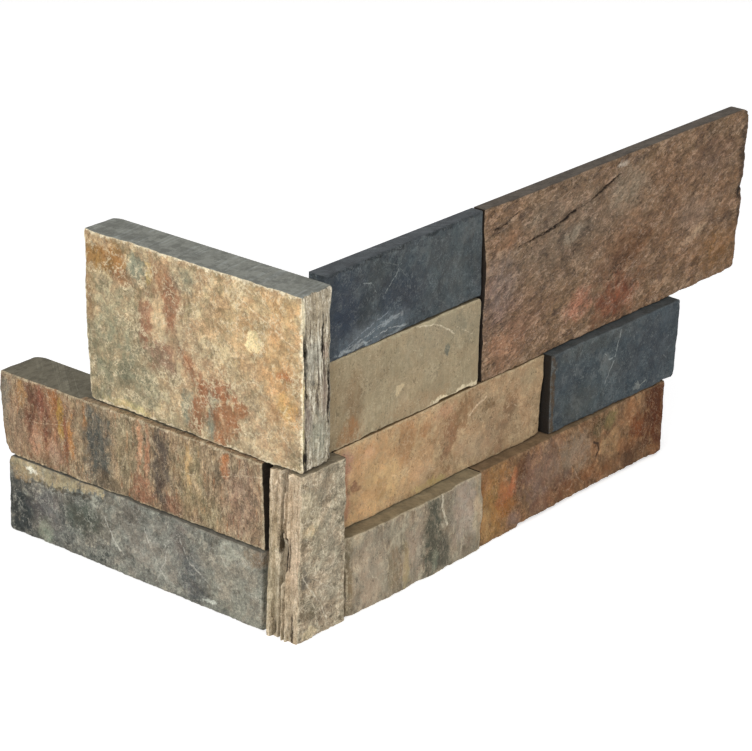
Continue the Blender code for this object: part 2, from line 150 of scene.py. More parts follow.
@dataclass(frozen=True)
class FineRules:
    """Rules of the relief that is too fine for the CAD source."""
    flake_level: float = 0.55
    flake_top: float = 1.1
    flake_steps: float = 3.0
    flake_snap: float = 0.3
    flake_sharpness: float = 7.0
    flake_full: float = 3.3
    flake_hollow: float = 0.45
    grain_gain: float = 0.6
    grain_hollow: float = 0.55
    crack_drift: float = 0.7
    crack_wave: float = 3.0
    crack_hollow: float = 0.8
    front_reach: float = 3.0
    skin: float = 0.5
    sway: float = 0.4
    sway_wave: float = 16.0
    fibre_sway: float = 1.2
    fibre_depth: float = 0.5
    fibre_gain: float = 0.9
    band_depth: float = 0.6
    band_level: float = 0.2
    layer_full: float = 4.6
    slit_taper: float = 2.0
    slit_drift: float = 0.6
    slit_wave: float = 4.0
    nibble_depth: float = 0.2
    arris_share: float = 0.9
    arris_gain: float = 0.6
    arris_least: float = 0.3
    chip_taper: float = 2.0
    chip_share: float = 0.95
    chip_gain: float = 0.25
    chip_least: float = 0.05


FINE = FineRules()


@dataclass(frozen=True)
class Texture:
    """A fractal noise with a shift of its own from the stone's seed, and its two wavelengths."""
    shift: float
    waves: Place = (1.0, 1.0)
    smoothness: float = 0.8
    step: float = 2.0
    octaves: int = 3

    def at(self, first: float, second: float, seed: float) -> float:
        """Gives the noise at a place on a stone with a seed."""
        place = Vector((first / self.waves[0], second / self.waves[1], seed + self.shift))
        return noise.fractal(place, self.smoothness, self.step, self.octaves)


PLATES = Texture(21.0, step=2.2, octaves=4)
GRAIN = Texture(33.0, smoothness=0.6, step=2.1, octaves=4)
FIBRES = Texture(41.0, (0.9, 6.0), smoothness=0.7, octaves=4)
BANDS = Texture(47.0, (2.6, 12.0), smoothness=1.0, octaves=2)
END_NIBBLES = Texture(7.0, (2.0, 2.6))
ARRIS_NIBBLES = Texture(13.0, (2.2, 1.0))
CHIP_NIBBLES = Texture(0.0, (5.0, 1.0))


@dataclass(frozen=True)
class Lamina:
    """One slate layer of a broken end: its thickness and how far it is broken back.

    A layer that gapes is open between pairs of heights, and nearly closed elsewhere.
    """
    thickness: float
    broken_back: float
    gapes: tuple[Place, ...] = ()


@dataclass(frozen=True)
class Slit:
    """A thin open split between the layers of a broken end, upright between two heights."""
    across: float
    low: float
    high: float
    width: float
    depth: float


@dataclass(frozen=True)
class StoneEnd:
    """One end of a stone. Its outline gives pairs of height and inset, from the bed upwards."""
    butted: bool = False
    top_radius: float = 0.0
    bottom_radius: float = 0.0
    front_radius: float = RULES.arris
    back_radius: float = 0.0
    outline: tuple[Place, ...] = ((0.0, 0.0),)
    ragged: float = 0.0
    laminae: tuple[Lamina, ...] = ()
    slits: tuple[Slit, ...] = ()


@dataclass(frozen=True)
class Relief:
    """Coarse relief of a split face, the same as in the CAD source.

    A positive fall sets the right end of the face back, and a negative one the left end.
    """
    depth: float
    swell: float
    stretch: float
    ledges: int
    seed: float
    fall: float = 0.0


@dataclass(frozen=True)
class Flaking:
    """Fine relief of a split face: thin flakes broken off, and the grain on them."""
    size: float
    depth: float
    grain_size: float
    grain_depth: float
    stretch: float = 1.0
    tilt: float = 0.0


@dataclass(frozen=True)
class Fissure:
    """An open crack that runs over a split face."""
    places: tuple[Place, ...]
    half_width: float
    depth: float


@dataclass(frozen=True)
class Chip:
    """A stretch of the front arris over the bed that is broken out, from start to stop."""
    start: float
    stop: float
    height: float
    depth: float


# Finish of a stone. Tilts are in degrees, anticlockwise as seen from outside.


@dataclass(frozen=True)
class Stain:
    """A ragged patch of another colour, for stains and, where marked, painted shade and sheen. Its edge is
    crisp when soft is small.
    """
    along: float
    up: float
    half_width: float
    half_height: float
    colour: str
    strength: float = 0.7
    soft: float = 0.4
    tilt: float = 0.0


@dataclass(frozen=True)
class Trace:
    """A thin vein, scratch or crack. The larger its gaps, the more of it is missing."""
    places: tuple[Place, ...]
    width: float
    colour: str
    strength: float = 0.6
    gaps: float = 0.47


def stain_rows(*rows: tuple) -> tuple[Stain, ...]:
    """Makes stains of rows that give a Stain's values in their order."""
    return tuple(Stain(*row) for row in rows)


def trace_rows(*rows: tuple) -> tuple[Trace, ...]:
    """Makes traces of rows that give a Trace's values in their order."""
    return tuple(Trace(*row) for row in rows)


@dataclass(frozen=True)
class Streaking:
    """Long narrow marks all over a face."""
    colour: str
    width: float
    length: float
    cover: float
    strength: float
    tilt: float = 0.0
    seed: float = 0.0


@dataclass(frozen=True)
class Veining:
    """A fine network of thin lines, in patches."""
    colour: str
    size: float
    width: float
    strength: float


@dataclass(frozen=True)
class Sawn:
    """Finish of the sawn beds and the back."""
    colour: str
    line_colour: str
    pitch: float = 2.2
    slant: float = 0.9
    contrast: float = 0.5


@dataclass(frozen=True)
class Layered:
    """Finish of an end that shows its broken layers. Its stains lie across the layers."""
    dark: str
    middle: str
    light: str
    stains: tuple[Stain, ...] = ()


@dataclass(frozen=True)
class SlateFinish:
    """Everything that the material of one stone needs.

    The lift scales red, green and blue of all its colours. Crisp is the share of the broken facets
    and tinge that of the wide drift of hue and brightness. The weave is how far the texture is
    drawn out along the stone, before it is tilted.
    """
    dark: str
    middle: str
    light: str
    patch: float
    sawn: Sawn
    arris: str
    veining: Veining
    lift: tuple[float, float, float] = (1.0, 1.0, 1.0)
    crisp: float = 1.0
    tinge: float = 0.6
    weave: float = 1.0
    weave_tilt: float = 0.0
    arris_strength: float = 0.4
    arris_width: float = 1.6
    grain: float = 0.35
    grain_size: float = 0.7
    flecks: float = 0.3
    fleck_colour: str = "d8d2c0"
    pits: float = 0.5
    # Hollow is how strongly painted shade darkens the hollows of the relief.
    hollow: float = 0.35
    roughness: float = 0.8
    bump: float = 0.6
    streaking: tuple[Streaking, ...] = ()
    stains: tuple[Stain, ...] = ()
    traces: tuple[Trace, ...] = ()
    layered: Layered | None = None


# Dark joint resin on the butted end faces, and painted shade where those faces show in deep joints.
RESIN_AND_SHADE = "1c1712"
# Painted shade laid into the hollows of the relief, and the tone of the dark pits of the grain.
SHADE = "1e1812"


class Effect(Enum):
    """The shader node groups that the slate materials share."""
    RAGGED = "Ragged edges"
    MOTTLE = "Slate mottle"
    GRAIN = "Slate grain"
    VEINS = "Fine veins"
    STREAKS = "Streaks"
    STAIN = "Stain"
    TRACE = "Thin trace"
    SAW_MARKS = "Saw marks"
    ARRIS = "Worn arris"
    LAYERS = "Broken layers"


class Wiring:
    """Adds nodes to one node tree and joins their sockets."""

    def __init__(self, tree: bpy.types.NodeTree) -> None:
        """Starts on a tree.

        Args:
            tree: The node tree of a material or of a group.
        """
        self.tree = tree

    def node(self, kind: str, **settings: object) -> bpy.types.Node:
        """Adds a node.

        Args:
            kind: The node's type.
            **settings: Its properties by name.

        Returns:
            The new node.
        """
        made = self.tree.nodes.new(kind)
        for name, value in settings.items():
            setattr(made, name, value)
        return made

    def feed(self, socket: bpy.types.NodeSocket, value: object) -> None:
        """Joins an output to a socket, or sets the socket to a constant.

        Args:
            socket: The input to feed.
            value: Another node's output, or a constant.
        """
        if isinstance(value, bpy.types.NodeSocket):
            self.tree.links.new(value, socket)
        else:
            socket.default_value = value

    def math(self, operation: str, first: object, second: object = 0.0,
             third: object = 0.0) -> bpy.types.NodeSocket:
        """Adds a Math node.

        Args:
            operation: What it does.
            first: Its first value.
            second: Its second value.
            third: Its third value.

        Returns:
            Its output.
        """
        made = self.node("ShaderNodeMath", operation=operation)
        self.feed(made.inputs[0], first)
        self.feed(made.inputs[1], second)
        self.feed(made.inputs[2], third)
        return made.outputs[0]

    def total(self, *parts: tuple[object, float]) -> bpy.types.NodeSocket:
        """Adds up values.

        Args:
            *parts: Pairs of a value and its weight.

        Returns:
            The weighted sum.
        """
        added: object = 0.0
        for value, weight in parts:
            added = self.math("MULTIPLY_ADD", value, weight, added)
        return added

    def vector(self, operation: str, first: object, second: object = ORIGIN,
               output: str = "Vector") -> bpy.types.NodeSocket:
        """Adds a Vector Math node.

        Args:
            operation: What it does.
            first: Its first vector.
            second: Its second vector.
            output: The output to give back, Vector or Value.

        Returns:
            That output.
        """
        made = self.node("ShaderNodeVectorMath", operation=operation)
        self.feed(made.inputs[0], first)
        self.feed(made.inputs[1], second)
        return made.outputs[output]

    def scaled(self, vector: object, share: object) -> bpy.types.NodeSocket:
        """Scales a vector by a number.

        Args:
            vector: The vector.
            share: The number.

        Returns:
            The scaled vector.
        """
        made = self.node("ShaderNodeVectorMath", operation="SCALE")
        self.feed(made.inputs[0], vector)
        self.feed(made.inputs["Scale"], share)
        return made.outputs["Vector"]

    def mix(self, share: object, first: object, second: object,
            blend: str = "MIX") -> bpy.types.NodeSocket:
        """Mixes two colours.

        Args:
            share: The share of the second colour.
            first: The first colour.
            second: The second colour.
            blend: The blend type.

        Returns:
            The mixed colour.
        """
        made = self.node("ShaderNodeMix", data_type="RGBA", blend_type=blend)
        self.feed(made.inputs[0], share)
        self.feed(made.inputs[6], first)
        self.feed(made.inputs[7], second)
        return made.outputs[2]

    def span(self, value: object, low: object, high: object, start: float = 0.0,
             end: float = 1.0) -> bpy.types.NodeSocket:
        """Eases a value from one range to another.

        Args:
            value: The value.
            low: Where the range starts.
            high: Where it ends.
            start: What the result is at and below low.
            end: What it is at and above high.

        Returns:
            The eased value.
        """
        made = self.node("ShaderNodeMapRange", interpolation_type="SMOOTHSTEP")
        for index, given in enumerate((value, low, high, start, end)):
            self.feed(made.inputs[index], given)
        return made.outputs[0]

    def noise(self, place: object, scale: object, detail: float = 3.0, roughness: float = 0.55,
              output: str = "Fac") -> bpy.types.NodeSocket:
        """Adds a noise texture.

        Args:
            place: Its coordinates.
            scale: Its scale.
            detail: Its octaves.
            roughness: How strong its finer octaves are.
            output: The output to give back, Fac or Color.

        Returns:
            That output.
        """
        made = self.node("ShaderNodeTexNoise")
        self.feed(made.inputs["Vector"], place)
        self.feed(made.inputs["Scale"], scale)
        self.feed(made.inputs["Detail"], detail)
        self.feed(made.inputs["Roughness"], roughness)
        return made.outputs[output]

    def cells(self, place: object, scale: object) -> bpy.types.NodeSocket:
        """Adds angular cells, and gives the random colour of each.

        Args:
            place: Their coordinates.
            scale: Their scale.

        Returns:
            The colours.
        """
        made = self.node("ShaderNodeTexVoronoi")
        self.feed(made.inputs["Vector"], place)
        self.feed(made.inputs["Scale"], scale)
        return made.outputs["Color"]

    def turned(self, place: object, centre: object, turn: object, size: object) -> bpy.types.NodeSocket:
        """Gives coordinates about a centre, turned, and in shares of a size.

        Args:
            place: The coordinates to start from.
            centre: The new origin.
            turn: The new frame's turn about the three axes.
            size: The length of one unit along the three axes.

        Returns:
            The new coordinates.
        """
        made = self.node("ShaderNodeMapping", vector_type="TEXTURE")
        for name, given in (("Vector", place), ("Location", centre), ("Rotation", turn), ("Scale", size)):
            self.feed(made.inputs[name], given)
        return made.outputs[0]

    def parts(self, vector: object) -> tuple[bpy.types.NodeSocket, ...]:
        """Splits a vector into its three numbers.

        Args:
            vector: The vector.

        Returns:
            The numbers.
        """
        made = self.node("ShaderNodeSeparateXYZ")
        self.feed(made.inputs[0], vector)
        return tuple(made.outputs)

    def effect(self, tree: bpy.types.NodeTree, **values: object) -> bpy.types.Node:
        """Places a shared effect.

        Args:
            tree: The effect's node group.
            **values: Its inputs by name, with underscores for spaces.

        Returns:
            The group node.
        """
        made = self.node("ShaderNodeGroup", node_tree=tree)
        for name, value in values.items():
            self.feed(made.inputs[name.replace("_", " ")], value)
        return made


class SlateEffects:
    """Builds each shared effect once, and gives it out by name."""

    VECTOR = "NodeSocketVector"
    NUMBER = "NodeSocketFloat"
    COLOUR = "NodeSocketColor"

    def __init__(self) -> None:
        """Builds all the groups."""
        builders = {
            Effect.RAGGED: self._ragged, Effect.MOTTLE: self._mottle, Effect.GRAIN: self._grain,
            Effect.VEINS: self._veins, Effect.STREAKS: self._streaks, Effect.STAIN: self._stain,
            Effect.TRACE: self._trace, Effect.SAW_MARKS: self._saw_marks,
            Effect.ARRIS: self._arris, Effect.LAYERS: self._layers,
        }
        self.trees = {effect: build(effect.value) for effect, build in builders.items()}

    def _open(self, name: str, inputs: dict[str, str],
              outputs: dict[str, str]) -> tuple[Wiring, bpy.types.Node, bpy.types.Node]:
        """Makes an empty group with its sockets.

        Args:
            name: The group's name.
            inputs: The type of each input by name.
            outputs: The type of each output by name.

        Returns:
            The wiring of the group, its input node and its output node.
        """
        tree = bpy.data.node_groups.new(name, "ShaderNodeTree")
        for side, sockets in (("INPUT", inputs), ("OUTPUT", outputs)):
            for socket, kind in sockets.items():
                tree.interface.new_socket(name=socket, in_out=side, socket_type=kind)
        wiring = Wiring(tree)
        return wiring, wiring.node("NodeGroupInput"), wiring.node("NodeGroupOutput")

    @staticmethod
    def _toned(wiring: Wiring, given: bpy.types.Node, value: object, dark: Place,
               light: Place) -> bpy.types.NodeSocket:
        """Turns a value into a group's three tones, over the two ranges where one gives way."""
        low = wiring.mix(wiring.span(value, *dark), given.outputs["Dark"], given.outputs["Middle"])
        return wiring.mix(wiring.span(value, *light), low, given.outputs["Light"])

    def _ragged(self, name: str) -> bpy.types.NodeTree:
        """Pushes coordinates about, so that whatever is drawn on them gets ragged edges.

        Args:
            name: The group's name.

        Returns:
            The group.
        """
        wiring, given, out = self._open(
            name, {"Vector": self.VECTOR, "Scale": self.NUMBER, "Amount": self.NUMBER},
            {"Vector": self.VECTOR})
        colour = wiring.noise(given.outputs["Vector"], given.outputs["Scale"], 3.0, 0.6, "Color")
        push = wiring.scaled(wiring.vector("SUBTRACT", colour, (0.5, 0.5, 0.5)), given.outputs["Amount"])
        wiring.feed(out.inputs["Vector"], wiring.vector("ADD", given.outputs["Vector"], push))
        return wiring.tree

    def _mottle(self, name: str) -> bpy.types.NodeTree:
        """Three tones in clouds and broken facets, and a wide drift of their hue and brightness.

        Args:
            name: The group's name.

        Returns:
            The group.
        """
        wiring, given, out = self._open(
            name, {"Vector": self.VECTOR, "Scale": self.NUMBER, "Crisp": self.NUMBER,
                   "Tinge": self.NUMBER, "Dark": self.COLOUR, "Middle": self.COLOUR,
                   "Light": self.COLOUR},
            {"Color": self.COLOUR, "Cloud": self.NUMBER, "Facets": self.NUMBER,
             "Tinge": self.COLOUR})
        place, scale = given.outputs["Vector"], given.outputs["Scale"]
        coarse = wiring.noise(place, scale, 4.0, 0.6)
        fine = wiring.noise(place, wiring.math("MULTIPLY", scale, 4.3), 4.0, 0.65)
        colour = wiring.noise(place, 0.55, 4.0, 0.65, "Color")
        pushed = wiring.vector("ADD", place, wiring.scaled(colour, 4.5))
        plates = wiring.parts(wiring.cells(pushed, 0.26))[0]
        chips = wiring.parts(wiring.cells(pushed, 0.8))[1]
        facets = wiring.total((plates, 0.55), (chips, 0.45))
        cloud = wiring.total((1.0, 0.11), (coarse, 0.48), (fine, 0.32), (wiring.math(
            "MULTIPLY", wiring.math("SUBTRACT", facets, 0.5), given.outputs["Crisp"]), 0.24))
        wiring.feed(out.inputs["Color"], self._toned(wiring, given, cloud, (0.4, 0.46), (0.54, 0.6)))
        drift = wiring.noise(wiring.vector("ADD", place, (47.0, 11.0, 29.0)), 0.13, 4.0, 0.65)
        tinge = wiring.mix(wiring.span(drift, 0.4, 0.6), (0.94, 1.01, 1.0, 1.0), (1.08, 1.0, 0.93, 1.0))
        wide = wiring.span(wiring.noise(place, 0.055, 3.0, 0.6), 0.36, 0.64, 0.86, 1.14)
        tinge = wiring.mix(1.0, tinge, wide, "MULTIPLY")
        wiring.feed(out.inputs["Tinge"], wiring.mix(given.outputs["Tinge"], (1.0, 1.0, 1.0, 1.0), tinge))
        wiring.feed(out.inputs["Cloud"], cloud)
        wiring.feed(out.inputs["Facets"], facets)
        return wiring.tree

    def _grain(self, name: str) -> bpy.types.NodeTree:
        """Fine grain of the rock, the pale mineral flecks in it and the dark pits.

        Args:
            name: The group's name.

        Returns:
            The group.
        """
        wiring, given, out = self._open(
            name, {"Vector": self.VECTOR, "Size": self.NUMBER},
            {"Grain": self.NUMBER, "Flecks": self.NUMBER, "Pits": self.NUMBER})
        scale = wiring.math("DIVIDE", 1.0, given.outputs["Size"])
        wiring.feed(out.inputs["Grain"], wiring.noise(given.outputs["Vector"], scale, 4.0, 0.7))
        for socket, shift, stretch in (("Flecks", 71.0, 0.75), ("Pits", 131.0, 0.6)):
            far = wiring.vector("ADD", given.outputs["Vector"], (shift, 13.0, 37.0))
            specks = wiring.noise(far, wiring.math("MULTIPLY", scale, stretch), 3.0, 0.6)
            clusters = wiring.noise(far, 0.16, 3.0, 0.6)
            both = wiring.total((specks, 1.0), (clusters, 0.6))
            wiring.feed(out.inputs[socket], wiring.span(both, 0.9, 1.0))
        return wiring.tree

    def _veins(self, name: str) -> bpy.types.NodeTree:
        """A network of thin broken lines, in patches.

        Args:
            name: The group's name.

        Returns:
            The group.
        """
        wiring, given, out = self._open(
            name, {"Vector": self.VECTOR, "Scale": self.NUMBER, "Width": self.NUMBER},
            {"Mask": self.NUMBER})
        place, scale = given.outputs["Vector"], given.outputs["Scale"]
        ridge = wiring.math("ABSOLUTE", wiring.math("SUBTRACT", wiring.noise(place, scale, 3.0, 0.6), 0.5))
        lines = wiring.span(ridge, 0.0, given.outputs["Width"], 1.0, 0.0)
        patches = wiring.noise(wiring.vector("ADD", place, (19.0, 5.0, 83.0)),
                               wiring.math("MULTIPLY", scale, 0.5), 3.0, 0.6)
        wiring.feed(out.inputs["Mask"], wiring.math("MULTIPLY", lines, wiring.span(patches, 0.44, 0.58)))
        return wiring.tree

    def _streaks(self, name: str) -> bpy.types.NodeTree:
        """Long narrow marks, tilted in the plane of the face.

        Args:
            name: The group's name.

        Returns:
            The group.
        """
        wiring, given, out = self._open(
            name, {"Vector": self.VECTOR, "Centre": self.VECTOR, "Turn": self.VECTOR,
                   "Size": self.VECTOR, "Cover": self.NUMBER},
            {"Mask": self.NUMBER})
        place = wiring.turned(given.outputs["Vector"], given.outputs["Centre"],
                              given.outputs["Turn"], given.outputs["Size"])
        marks = wiring.noise(place, 1.0, 4.0, 0.65)
        low = wiring.math("SUBTRACT", 0.66, wiring.math("MULTIPLY", given.outputs["Cover"], 0.36))
        wiring.feed(out.inputs["Mask"], wiring.span(marks, low, wiring.math("ADD", low, 0.1)))
        return wiring.tree

    def _stain(self, name: str) -> bpy.types.NodeTree:
        """One oval patch whose edge is broken up by a noise.

        Args:
            name: The group's name.

        Returns:
            The group.
        """
        wiring, given, out = self._open(
            name, {"Vector": self.VECTOR, "Centre": self.VECTOR, "Turn": self.VECTOR,
                   "Size": self.VECTOR, "Breakup": self.NUMBER, "Soft": self.NUMBER},
            {"Mask": self.NUMBER})
        place = wiring.turned(given.outputs["Vector"], given.outputs["Centre"],
                              given.outputs["Turn"], given.outputs["Size"])
        within = wiring.math("SUBTRACT", 1.0, wiring.vector("LENGTH", place, output="Value"))
        broken = wiring.total((within, 1.0), (wiring.math("SUBTRACT", given.outputs["Breakup"], 0.5), 3.0))
        soft = given.outputs["Soft"]
        wiring.feed(out.inputs["Mask"], wiring.span(broken, wiring.math("MULTIPLY", soft, -1.0), soft))
        return wiring.tree

    def _trace(self, name: str) -> bpy.types.NodeTree:
        """One straight stretch of a thin vein, scratch or crack.

        Args:
            name: The group's name.

        Returns:
            The group.
        """
        wiring, given, out = self._open(
            name, {"Vector": self.VECTOR, "Start": self.VECTOR, "Run": self.VECTOR,
                   "Width": self.NUMBER},
            {"Mask": self.NUMBER})
        flat = wiring.vector("MULTIPLY", given.outputs["Vector"], (1.0, 0.0, 1.0))
        away = wiring.vector("SUBTRACT", flat, given.outputs["Start"])
        run = given.outputs["Run"]
        passed = wiring.math("DIVIDE", wiring.vector("DOT_PRODUCT", away, run, "Value"),
                             wiring.vector("DOT_PRODUCT", run, run, "Value"))
        passed = wiring.math("MINIMUM", wiring.math("MAXIMUM", passed, 0.0), 1.0)
        off = wiring.vector("LENGTH", wiring.vector("SUBTRACT", away, wiring.scaled(run, passed)),
                            output="Value")
        wiring.feed(out.inputs["Mask"],
                    wiring.span(wiring.math("DIVIDE", off, given.outputs["Width"]), 0.2, 0.8, 1.0, 0.0))
        return wiring.tree

    def _saw_marks(self, name: str) -> bpy.types.NodeTree:
        """Slanting lines that a saw leaves on a bed or a back.

        Args:
            name: The group's name.

        Returns:
            The group.
        """
        wiring, given, out = self._open(
            name, {"Vector": self.VECTOR, "Turn": self.VECTOR, "Pitch": self.NUMBER},
            {"Lines": self.NUMBER})
        far = 60.0
        turned = wiring.turned(given.outputs["Vector"], ORIGIN, given.outputs["Turn"], (1.0, far, far))
        lines = wiring.noise(turned, wiring.math("DIVIDE", 1.0, given.outputs["Pitch"]), 2.0, 0.5)
        cloud = wiring.noise(given.outputs["Vector"], 0.12, 2.0, 0.5)
        wiring.feed(out.inputs["Lines"],
                    wiring.math("MULTIPLY", wiring.span(lines, 0.5, 0.66), wiring.span(cloud, 0.3, 0.6)))
        return wiring.tree

    def _arris(self, name: str) -> bpy.types.NodeTree:
        """Paler wear along the edges of the split face, bitten out by a noise.

        Args:
            name: The group's name.

        Returns:
            The group.
        """
        wiring, given, out = self._open(
            name, {"Vector": self.VECTOR, "Off": self.NUMBER, "Width": self.NUMBER},
            {"Mask": self.NUMBER})
        bitten = wiring.math("MULTIPLY", wiring.noise(given.outputs["Vector"], 0.5, 4.0, 0.65), 3.2)
        off = wiring.math("DIVIDE", given.outputs["Off"], given.outputs["Width"])
        share = wiring.math("ADD", off, bitten)
        wiring.feed(out.inputs["Mask"], wiring.span(share, 1.55, 2.3, 1.0, 0.0))
        return wiring.tree

    def _layers(self, name: str) -> bpy.types.NodeTree:
        """Fibrous colours of a broken end.

        Args:
            name: The group's name.

        Returns:
            The group.
        """
        wiring, given, out = self._open(
            name, {"Vector": self.VECTOR, "Dark": self.COLOUR, "Middle": self.COLOUR,
                   "Light": self.COLOUR},
            {"Color": self.COLOUR, "Fibres": self.NUMBER})
        wavy = wiring.vector("ADD", given.outputs["Vector"], wiring.scaled(
            wiring.noise(given.outputs["Vector"], 0.16, 3.0, 0.55, "Color"), 3.0))
        fibres = wiring.noise(wiring.vector("MULTIPLY", wavy, (0.2, 0.95, 0.07)), 1.0, 5.0, 0.75)
        crumbs = wiring.noise(wiring.vector("MULTIPLY", wavy, (0.5, 0.9, 0.4)), 1.0, 5.0, 0.75)
        mixed = wiring.total((fibres, 0.6), (crumbs, 0.4))
        wiring.feed(out.inputs["Color"], self._toned(wiring, given, mixed, (0.41, 0.48), (0.51, 0.57)))
        wiring.feed(out.inputs["Fibres"], mixed)
        return wiring.tree


class SlateMaterial:
    """Builds the material of one stone out of the shared effects."""

    def __init__(self, name: str, finish: SlateFinish, effects: SlateEffects) -> None:
        """Starts the material.

        Args:
            name: The stone's name.
            finish: Its finish.
            effects: The shared effects.
        """
        self.name = name
        self.finish = finish
        self.trees = effects.trees
        self.material = bpy.data.materials.new(f"{name}_slate")
        self.material.use_nodes = True
        self.wiring = Wiring(self.material.node_tree)

    def _lifted(self, code: str) -> Tone:
        """Gives a tone of this stone with the stone's own lift."""
        lifted = [min(1.0, value * share) for value, share in zip(tone(code), self.finish.lift)]
        return (lifted[0], lifted[1], lifted[2], 1.0)

    def _over(self, colour: object, mask: object, strength: object, code: str) -> bpy.types.NodeSocket:
        """Lays a tone over a colour, as strongly as a mask and a strength say."""
        return self.wiring.mix(self.wiring.math("MULTIPLY", mask, strength), colour, self._lifted(code))

    def _streaked(self, place: bpy.types.NodeSocket, colour: bpy.types.NodeSocket) -> bpy.types.NodeSocket:
        """Lays the streaks over a colour.

        Args:
            place: The stone's coordinates in millimetres.
            colour: The colour so far.

        Returns:
            The colour with the streaks.
        """
        for streaks in self.finish.streaking:
            marks = self.wiring.effect(
                self.trees[Effect.STREAKS], Vector=place, Centre=(streaks.seed, streaks.seed, 0.0),
                Turn=in_plane(streaks.tilt),
                Size=(streaks.width, streaks.width * 2.0, streaks.length), Cover=streaks.cover)
            colour = self._over(colour, marks.outputs[0], streaks.strength, streaks.colour)
        return colour

    def _stained(self, place: bpy.types.NodeSocket, colour: bpy.types.NodeSocket,
                 stains: tuple[Stain, ...], warp: float = 7.0) -> bpy.types.NodeSocket:
        """Lays stains over a colour, and the patches of painted shade and sheen among them.

        Args:
            place: The coordinates that the stains are placed in, in millimetres.
            colour: The colour so far.
            stains: The stains.
            warp: How far their shapes are pushed about.

        Returns:
            The colour with the stains.
        """
        wiring = self.wiring
        loose = place
        for scale, share in ((0.15, 1.0), (0.7, 0.3)):
            loose = wiring.effect(self.trees[Effect.RAGGED], Vector=loose, Scale=scale,
                                  Amount=share * warp).outputs[0]
        drawn = wiring.vector("MULTIPLY", place, (1.0, 1.0, 0.55))
        breakup = wiring.total((wiring.noise(place, 0.17, 4.0, 0.65), 0.55),
                               (wiring.noise(drawn, 0.5, 4.0, 0.65), 0.45))
        thin = wiring.span(wiring.noise(drawn, 0.36, 4.0, 0.65), 0.4, 0.5, 0.62, 1.0)
        for stain in stains:
            patch = wiring.effect(
                self.trees[Effect.STAIN], Vector=loose, Centre=(stain.along, 0.0, stain.up),
                Turn=in_plane(stain.tilt),
                Size=(stain.half_width, STAIN_DEPTH, stain.half_height), Breakup=breakup, Soft=stain.soft)
            mask = wiring.math("MULTIPLY", patch.outputs[0], thin)
            colour = self._over(colour, mask, stain.strength, stain.colour)
        return colour

    def _traced(self, place: bpy.types.NodeSocket, colour: bpy.types.NodeSocket) -> bpy.types.NodeSocket:
        """Lays the thin veins, scratches and cracks over a colour.

        Args:
            place: The stone's coordinates in millimetres.
            colour: The colour so far.

        Returns:
            The colour with the traces.
        """
        wiring = self.wiring
        wavy = wiring.effect(self.trees[Effect.RAGGED], Vector=place, Scale=0.4, Amount=2.2).outputs[0]
        missing = wiring.noise(place, 0.5, 4.0, 0.65)
        for trace in self.finish.traces:
            mask: object = 0.0
            for start, end in zip(trace.places, trace.places[1:]):
                stretch = wiring.effect(
                    self.trees[Effect.TRACE], Vector=wavy, Start=(start[0], 0.0, start[1]),
                    Run=(end[0] - start[0], 0.0, end[1] - start[1]), Width=trace.width)
                mask = wiring.math("MAXIMUM", mask, stretch.outputs[0])
            left = wiring.span(missing, trace.gaps - 0.06, trace.gaps + 0.06, 0.0, trace.strength)
            colour = self._over(colour, mask, left, trace.colour)
        return colour

    def _face(self, place: bpy.types.NodeSocket, ground: bpy.types.Node, grain: bpy.types.Node,
              woven: bpy.types.NodeSocket) -> bpy.types.NodeSocket:
        """Gives the colour of the split face.

        Args:
            place: The stone's coordinates in millimetres.
            ground: Its mottle.
            grain: Its grain.
            woven: Its coordinates drawn out along the grain.

        Returns:
            The colour, without the wear of its edges.
        """
        finish, wiring = self.finish, self.wiring
        colour = self._streaked(place, ground.outputs["Color"])
        colour = self._stained(place, colour, finish.stains)
        colour = wiring.mix(1.0, colour, ground.outputs["Tinge"], "MULTIPLY")
        veins = wiring.effect(self.trees[Effect.VEINS], Vector=woven, Scale=1.0 / finish.veining.size,
                              Width=finish.veining.width)
        colour = self._over(colour, veins.outputs[0], finish.veining.strength, finish.veining.colour)
        colour = self._over(colour, grain.outputs["Flecks"], finish.flecks, finish.fleck_colour)
        return self._traced(place, colour)

    def _sawn(self, place: bpy.types.NodeSocket, ground: bpy.types.Node,
              marks: bpy.types.Node) -> bpy.types.NodeSocket:
        """Gives the colour of the sawn beds and the back.

        Args:
            place: The stone's coordinates in millimetres; not used.
            ground: Its mottle.
            marks: Its saw marks.

        Returns:
            The colour.
        """
        finish, wiring = self.finish, self.wiring
        lines = wiring.math("MULTIPLY", marks.outputs[0], finish.sawn.contrast)
        bed = wiring.mix(lines, self._lifted(finish.sawn.colour), self._lifted(finish.sawn.line_colour))
        dusty = wiring.span(ground.outputs["Cloud"], 0.38, 0.62, 0.76, 1.2)
        return wiring.mix(1.0, bed, dusty, "MULTIPLY")

    def build(self, stone: "SplitStone", corner: Vector) -> bpy.types.Material:
        """Wires the whole material.

        Args:
            stone: The stone that wears it.
            corner: The outer corner of the part.

        Returns:
            The finished material.
        """
        finish, wiring, trees = self.finish, self.wiring, self.trees
        shader = wiring.tree.nodes["Principled BSDF"]
        object_place = wiring.node("ShaderNodeTexCoord").outputs["Object"]
        place = wiring.turned(object_place, stone.origin(corner), (0.0, 0.0, stone.leg.turn), (MM, MM, MM))
        woven = wiring.turned(place, ORIGIN, in_plane(finish.weave_tilt), (finish.weave, 1.0, 1.0))
        hollow, sawn, end = wiring.parts(
            wiring.node("ShaderNodeAttribute", attribute_name=MARKS).outputs["Vector"])
        off = wiring.node("ShaderNodeAttribute", attribute_name=OFF_RIM).outputs["Fac"]

